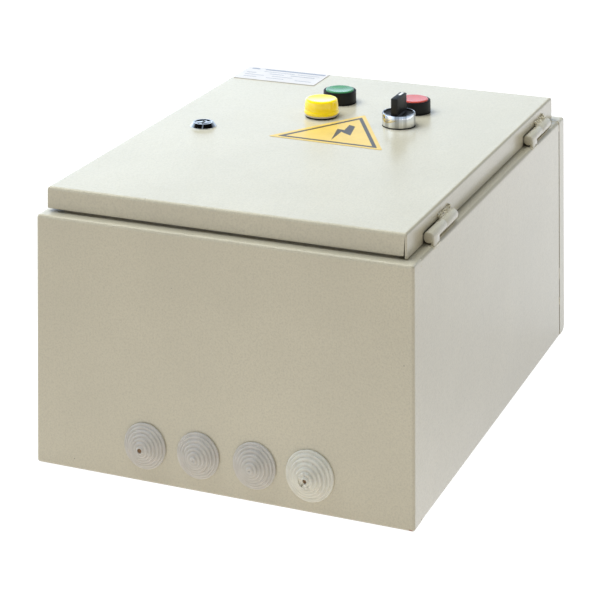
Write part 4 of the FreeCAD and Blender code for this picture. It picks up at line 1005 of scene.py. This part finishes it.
def grommet(bm, x, z, radius, proud, tip):
    """Stepped rubber cone; tip is 'closed', 'cut' or 'torn'."""
    wall = BOX_LOW.y
    flange, steps = 1.9, 5
    tip_r = 2.6 if tip == "closed" else 3.0
    first = radius - 2.2
    run, rise = (first - tip_r) / steps, (proud - flange - 0.6) / steps
    outside = [
        (radius - 3.4, -2.6), (radius - 1.7, -2.4), (radius - 1.7, -1.3), (radius - 3.0, -1.2),
        (radius - 3.0, 0.0), (radius - 0.4, 0.0), (radius, 0.7, 0.4), (radius - 0.55, flange, 0.9),
        (first + 0.1, flange - 0.15, 0.2),
    ]
    for i in range(steps):
        r, h = first - i * run, flange + (i + 1) * rise
        outside += [(r - 0.15, h - 0.1, 0.75), (r - run + 0.35, h - 0.5, 0.25)]
    if tip == "closed":
        outside += [(tip_r - 0.2, proud - 0.4), (tip_r - 0.5, proud + 0.2, 0.6), (1.1, proud + 0.3, 0.5),
                    (0.5, proud - 0.2), (0, proud - 0.3)]
        inside = [(0, proud - 1.8)]
    else:
        outside += [(tip_r - 0.3, proud - 0.3), (tip_r - 0.5, proud + 0.3, 0.4),
                    (tip_r - 1.3, proud + 0.3, 0.3), (tip_r - 1.5, proud - 1.4)]
        inside = [(tip_r - 1.4, proud - 2.4)]
    inside += [(first - 2.2, flange - 1.6), (radius - 4.6, -2.6)]

    def tear(r, h, angle):
        if tip != "torn" or h < proud - 3 or r > tip_r + run:
            return r, h
        rip = max(0.0, noise.noise(Vector((2.2 * cos(angle), 2.2 * sin(angle), 4.0))))
        side = max(0.0, cos(angle - TORN_SIDE))
        return r + 0.7 * rip, h - 2.2 * rip - 1.6 * side**3

    bored = tip != "closed"
    lathe(bm, soften(outside + inside, bored, 4), along_y(x, wall, z, -1), 96, bored, tear)


def grommets():
    low, high = corners("cable_grommets")
    large_low, large_high = corners("large_cable_grommet")
    height = (low.z + high.z) / 2
    radius = (high.z - low.z) / 2
    first = low.x + radius
    last = high.x - radius
    small = bmesh.new()
    proud = BOX_LOW.y - low.y - TIP_MARGIN
    for x, tip in ((first, "cut"), (first + GROMMET_PITCH, "closed"), (last, "closed")):
        grommet(small, x, height, radius, proud, tip)
    piece("grommets", small, RUBBER, "enclosure", ["cable_grommets"], 60)
    large = bmesh.new()
    large_x = (large_low.x + large_high.x) / 2
    large_radius = (large_high.x - large_low.x) / 2
    grommet(large, large_x, height, large_radius, BOX_LOW.y - large_low.y - TIP_MARGIN, "torn")
    piece("large-grommet", large, PALE_RUBBER, "enclosure", ["large_cable_grommet"], 60)
    # brown plugs inside the open tips
    tip_plugs = bmesh.new()
    for x, y, plug in (
        (first, low.y + 1.8, [(0, 0), (1.55, 0), (1.5, 1.2), (0.8, 1.5), (0, 1.1)]),
        (large_x, large_low.y + 3.0, [(0, 0), (1.55, 0), (1.5, 0.8), (0.6, 1.2), (0, 0.9)]),
    ):
        lathe(tip_plugs, plug, along_y(x, y, height, -1), 24)
    piece("grommet-tip-plug", tip_plugs, BROWN, "enclosure", (), 60)


grommets()


# ---- parts kept as designed
KEPT = {
    PAINT: ("top_end_wall",),
    DOOR_PAINT: ("door_panel",),
    WALL_PAINT: ("bottom_end_wall",),
    WRAP_PAINT: ("body_wrap",),
    ZINC: ("hinge_pins", "plate_studs", "plate_fasteners", "din_rails", "terminal_screws", "lock_nut",
           "lock_cam"),
    GALVANISED: ("mounting_plate",),
    CORE: ("contactor_core", "contactor_armature"),
    BRASS: ("moving_contacts", "fixed_contacts", "relay_pins"),
    COPPER: ("contactor_coil",),
    PALE: ("relay_dial",),
    FOAM: ("control_gaskets",),
    WIRE: ("supply_wires", "power_wires", "motor_wires"),
}

for material, names in KEPT.items():
    for name in names:
        mesh = NODES[name].data
        mesh.materials.clear()
        mesh.materials.append(material)

for node, body, material, width, slot in (
    ("breaker_housing", "enclosure", DEVICE, 0.5, "device_plastic"),
    ("breaker_toggle", "breaker_lever", BLACK, 0.4, "black_plastic"),
    ("contactor_base", "enclosure", DARK, 0.4, "dark_plastic"),
    ("contactor_cover", "enclosure", DEVICE, 0.4, "device_plastic"),
    ("contactor_carrier", "contact_carrier", BLACK, 0.3, "black_plastic"),
    ("relay_housing", "enclosure", DARK, 0.4, "dark_plastic"),
    ("relay_reset_button", "reset_key", BLUE, 0.25, "blue_plastic"),
    ("relay_stop_button", "relay_stop_key", RED_KEY, 0.25, "red_plastic"),
    ("terminal_blocks", "enclosure", TERMINAL, 0.25, "terminal_plastic"),
    ("earth_terminals", "enclosure", EARTH, 0.25, "green_plastic"),
    ("end_stops", "enclosure", TERMINAL, 0.3, "terminal_plastic"),
    ("contact_blocks", "door", DEVICE, 0.4, "device_plastic"),
    ("lamp_led_module", "door", DEVICE, 0.4, "device_plastic"),
    ("door_gasket", "door", FOAM, 1.6, "gasket_rubber"),
):
    softened(node, body, material, width)


# ---- control wiring
BUNDLE_R = 4.5


def spiral_wrap(run, angle):
    """Radius of a bundle in spiral wrapping: each turn overlaps the last with a small gap."""
    phase = (run / 9.0 - angle / (2 * pi)) % 1.0
    return 4.35 if phase > 0.2 else 3.75


def harness():
    """Wrapped bundle up from the mounting plate, along the door, and the loop between the two."""
    strip_low, strip_high = corners("control_harness")
    door_low, door_high = corners("door_harness")
    x, top = strip_high.x - BUNDLE_R, strip_high.z
    y, z = strip_low.y + BUNDLE_R, strip_low.z + BUNDLE_R
    door_y, door_z = door_high.y - BUNDLE_R, door_high.z - BUNDLE_R
    start_x = strip_low.x + BUNDLE_R
    up = [(start_x, y + 22, z), (start_x, y, z), (x, y, z), (x, 0, z), (x, 0, top)]
    across = [(door_low.x, door_y, door_z), (x, door_y, door_z), (x, door_low.y, door_z)]
    between = [
        (x, 0, top - 0.5), (x, 0, top + 20), (x - 6, -14, top + 34), (x - 4, -22, door_z - 12),
        (x, -10, door_z), (x, door_low.y + 0.5, door_z),
    ]
    pieces = []
    for name, body, node, path, bend in (
        ("plate-harness", "enclosure", ["control_harness"], up, 16),
        ("door-harness", "door", ["door_harness"], across, 16),
        ("hinge-harness", None, (), between, 7),
    ):
        bm = bmesh.new()
        tube(bm, resample(bent_path(path, bend), 0.9), spiral_wrap, 20)
        pieces.append(piece(name, bm, SLEEVE, body, node, 50))
    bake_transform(pieces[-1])


harness()


def block_screws():
    """Clamp screws of the contact blocks behind the door."""
    bm = bmesh.new()
    base = corners("contact_blocks")[0].z
    for at in (START, STOP, SELECTOR):
        for side in (-1, 1):
            place = upright(at.x + side * 10, at.y, base + 1.2)
            head = soften([(0, 0), (2.3, 0, 0.4), (2.3, 2.0), (0, 2.0)])
            lathe(bm, head, place, 32)
            slab(bm, rectangle(-2.0, 2.0, -0.35, 0.35), -0.02, 0.1, place)
    piece("contact-block-screws", bm, BRASS, "door", ())


block_screws()


# ---- floor, light and camera
FLOOR_DIFFUSE = (255, 246, 230)      # the floor's light as it falls on the box
FLOOR_MIRRORED = (236, 240, 246)     # and as it shows in reflections
FLOOR_LIGHT = 0.72
FLOOR_MIRROR_LIGHT = 1.25
FLOOR_SHADE = 0.74                   # beside the box's right side
FLOOR_SHADE_AT = (500, 150, 0)
FLOOR_FRONT = 1.3                    # in front of the box
FLOOR_FRONT_AT = (30, -330, 0)
FLOOR_HALF = 12.0                    # metres
FLOOR_DROP = 0.0004                  # metres under the box, so that the two never share a plane
SKY_FRONT = (255, 244, 226)
SKY_TOP = (236, 246, 255)
SKY_LIGHT_FRONT = 0.42
SKY_LIGHT_BACK = 0.25
HORIZON = (214, 232, 255)
HORIZON_LIGHT = 1.2
HORIZON_FADE_X = (1.3, 0.55, -0.6, -0.1)    # light at, light at, from X, to X
HORIZON_FADE_Z = (1.5, 0.5, 0.16, 0.4)      # the same by height
CEILING = (26, 25, 24)
CEILING_EDGE = (0.45, 0.62)
GAP_X = 0.12
GAP_HALF_WIDTH = (0.05, 0.09)
STRIP_HEIGHT = 0.5
STRIP_WIDTH = 0.1
STRIP_FRONT = (0.35, 0.6)
STRIP_LIGHT = 18.0
SOFTBOXES = (    # name, place and size in metres, power and colour
    ("overhead", (-0.85, 0.1, 1.95), (1.7, 1.7), 70, (0.86, 0.92, 1.0)),
    ("back", (-0.9, 2.1, 0.8), (2.6, 1.2), 7, (0.92, 0.98, 1.0)),
    ("side", (1.0, 0.8, 1.0), (0.7, 0.7), 4, (0.93, 0.98, 1.0)),
)
CAMERA_PLACE = (0.6330, -1.5881, 0.7031)
CAMERA_LENS = 126.247
CAMERA_TURN = 22.232
CAMERA_ROLL = -0.147
CAMERA_SHIFT = -1.2909


def studio_floor():
    """White table: full white to the camera, cool in reflections, dimmer beside the right side."""
    s = Shader("floor")
    s.set(Base_Color=s.ramp(s.noise(400, 2), (0.3, (118, 118, 118)), (0.7, (122, 122, 122))), Roughness=0.7)
    path = s.add("LightPath").outputs
    colour = s.mix(path["Is Glossy Ray"], FLOOR_DIFFUSE, FLOOR_MIRRORED)
    s.set(Emission_Color=s.mix(path["Is Camera Ray"], colour, WHITE))
    shaded = s.scale(s.near(FLOOR_SHADE_AT, 160, 560), 1.0, FLOOR_SHADE)
    front = s.scale(s.near(FLOOR_FRONT_AT, 60, 420), 1.0, FLOOR_FRONT)
    shaded = s.math("MULTIPLY", shaded, front)
    unseen = s.math("MULTIPLY", s.scale(path["Is Glossy Ray"], FLOOR_LIGHT, FLOOR_MIRROR_LIGHT), shaded)
    s.set(Emission_Strength=s.math("MAXIMUM", unseen, path["Is Camera Ray"]))
    mesh = bpy.data.meshes.new("floor")
    signs = ((-1, -1), (1, -1), (1, 1), (-1, 1))
    mesh.from_pydata([(x * FLOOR_HALF, y * FLOOR_HALF, 0) for x, y in signs], [], [(0, 1, 2, 3)])
    mesh.materials.append(s.material)
    floor = bpy.data.objects.new("floor", mesh)
    floor.location.z = -FLOOR_DROP
    bpy.context.scene.collection.objects.link(floor)


def softbox(name, place, size, power, colour):
    """Large soft light; reflections are left to the studio's surroundings."""
    light = bpy.data.lights.new(name, "AREA")
    light.shape = "RECTANGLE"
    light.size, light.size_y = size
    light.energy = power
    light.color = colour
    lamp = bpy.data.objects.new(name, light)
    lamp.location = place
    lamp.visible_glossy = False
    aim = Vector((0, 0, 0.1)) - Vector(place)
    lamp.rotation_euler = aim.to_track_quat("-Z", "Y").to_euler()
    bpy.context.scene.collection.objects.link(lamp)


def studio_world():
    """Surroundings: soft light warm from the front and cool from above. Reflections see a bright
    cool band round the horizon, a dark ceiling with one white gap, and a strip light in front."""
    world = bpy.data.worlds.new("studio")
    bpy.context.scene.world = world
    world.use_nodes = True
    w = Shader("world", world.node_tree)
    path = w.add("LightPath").outputs
    split = w.add("SeparateXYZ", {0: w.add("TexCoord").outputs["Generated"]}).outputs
    front = w.math("MULTIPLY", split["Y"], -1.0)
    ceiling = w.scale(split["Z"], 0.0, 1.0, *CEILING_EDGE)
    gap = w.scale(w.math("ABSOLUTE", w.math("ADD", split["X"], -GAP_X)), 0.0, 1.0, *GAP_HALF_WIDTH)
    dark = w.math("MULTIPLY", ceiling, gap)
    mirrored = w.mix(dark, HORIZON, CEILING)
    strip = w.math("ABSOLUTE", w.math("ADD", split["Z"], -STRIP_HEIGHT))
    strip = w.math("MULTIPLY", w.scale(strip, 1.0, 0.0, STRIP_WIDTH * 0.6, STRIP_WIDTH),
                   w.scale(front, 0.0, 1.0, *STRIP_FRONT))
    strip = w.math("MULTIPLY", strip, w.math("LESS_THAN", path["Ray Depth"], 1.5))
    mirrored = w.mix(strip, mirrored, WHITE)
    fading = w.math("MULTIPLY", w.scale(split["X"], *HORIZON_FADE_X), w.scale(split["Z"], *HORIZON_FADE_Z))
    horizon = w.math("MULTIPLY", fading, HORIZON_LIGHT)
    mirror_level = w.add("Mix", {0: strip, 2: horizon, 3: STRIP_LIGHT}).outputs[0]
    soft = w.mix(w.scale(split["Z"], 0.0, 1.0, -0.1, 0.8), SKY_FRONT, SKY_TOP)
    soft_level = w.scale(front, SKY_LIGHT_BACK, SKY_LIGHT_FRONT, -0.8, 0.8)
    colour = w.mix(path["Is Glossy Ray"], soft, mirrored)
    background = w.nodes["Background"]
    w.plug(background, "Color", w.mix(path["Is Camera Ray"], colour, WHITE))
    level = w.add("Mix", {0: path["Is Glossy Ray"], 2: soft_level, 3: mirror_level}).outputs[0]
    w.plug(background, "Strength", w.math("MAXIMUM", level, path["Is Camera Ray"]))


def photo_camera():
    """Level camera with its picture shifted down, so that upright edges stay parallel. The shift
    holds only at the photo's height; seen from elsewhere the camera looks straight at the box."""
    data = bpy.data.cameras.new("camera")
    data.lens = CAMERA_LENS
    data.sensor_width = 36.0
    camera = bpy.data.objects.new("camera", data)
    camera.location = CAMERA_PLACE
    level = Matrix.Rotation(radians(90), 4, "X")
    turn = Matrix.Rotation(radians(CAMERA_TURN), 4, "Z") @ level
    roll = Matrix.Rotation(radians(CAMERA_ROLL), 4, "Z")
    camera.rotation_euler = (turn @ roll).to_euler()
    bpy.context.scene.collection.objects.link(camera)
    bpy.context.scene.camera = camera
    driver = data.driver_add("shift_y").driver
    variable = driver.variables.new()
    variable.name = "z"
    variable.type = "TRANSFORMS"
    variable.targets[0].id = camera
    variable.targets[0].transform_type = "LOC_Z"
    variable.targets[0].transform_space = "WORLD_SPACE"
    driver.expression = f"{CAMERA_SHIFT} if abs(z - {CAMERA_PLACE[2]}) < 0.0005 else 0.0"


studio_floor()
studio_world()
for settings in SOFTBOXES:
    softbox(*settings)
photo_camera()
bpy.context.scene.view_settings.view_transform = "Standard"
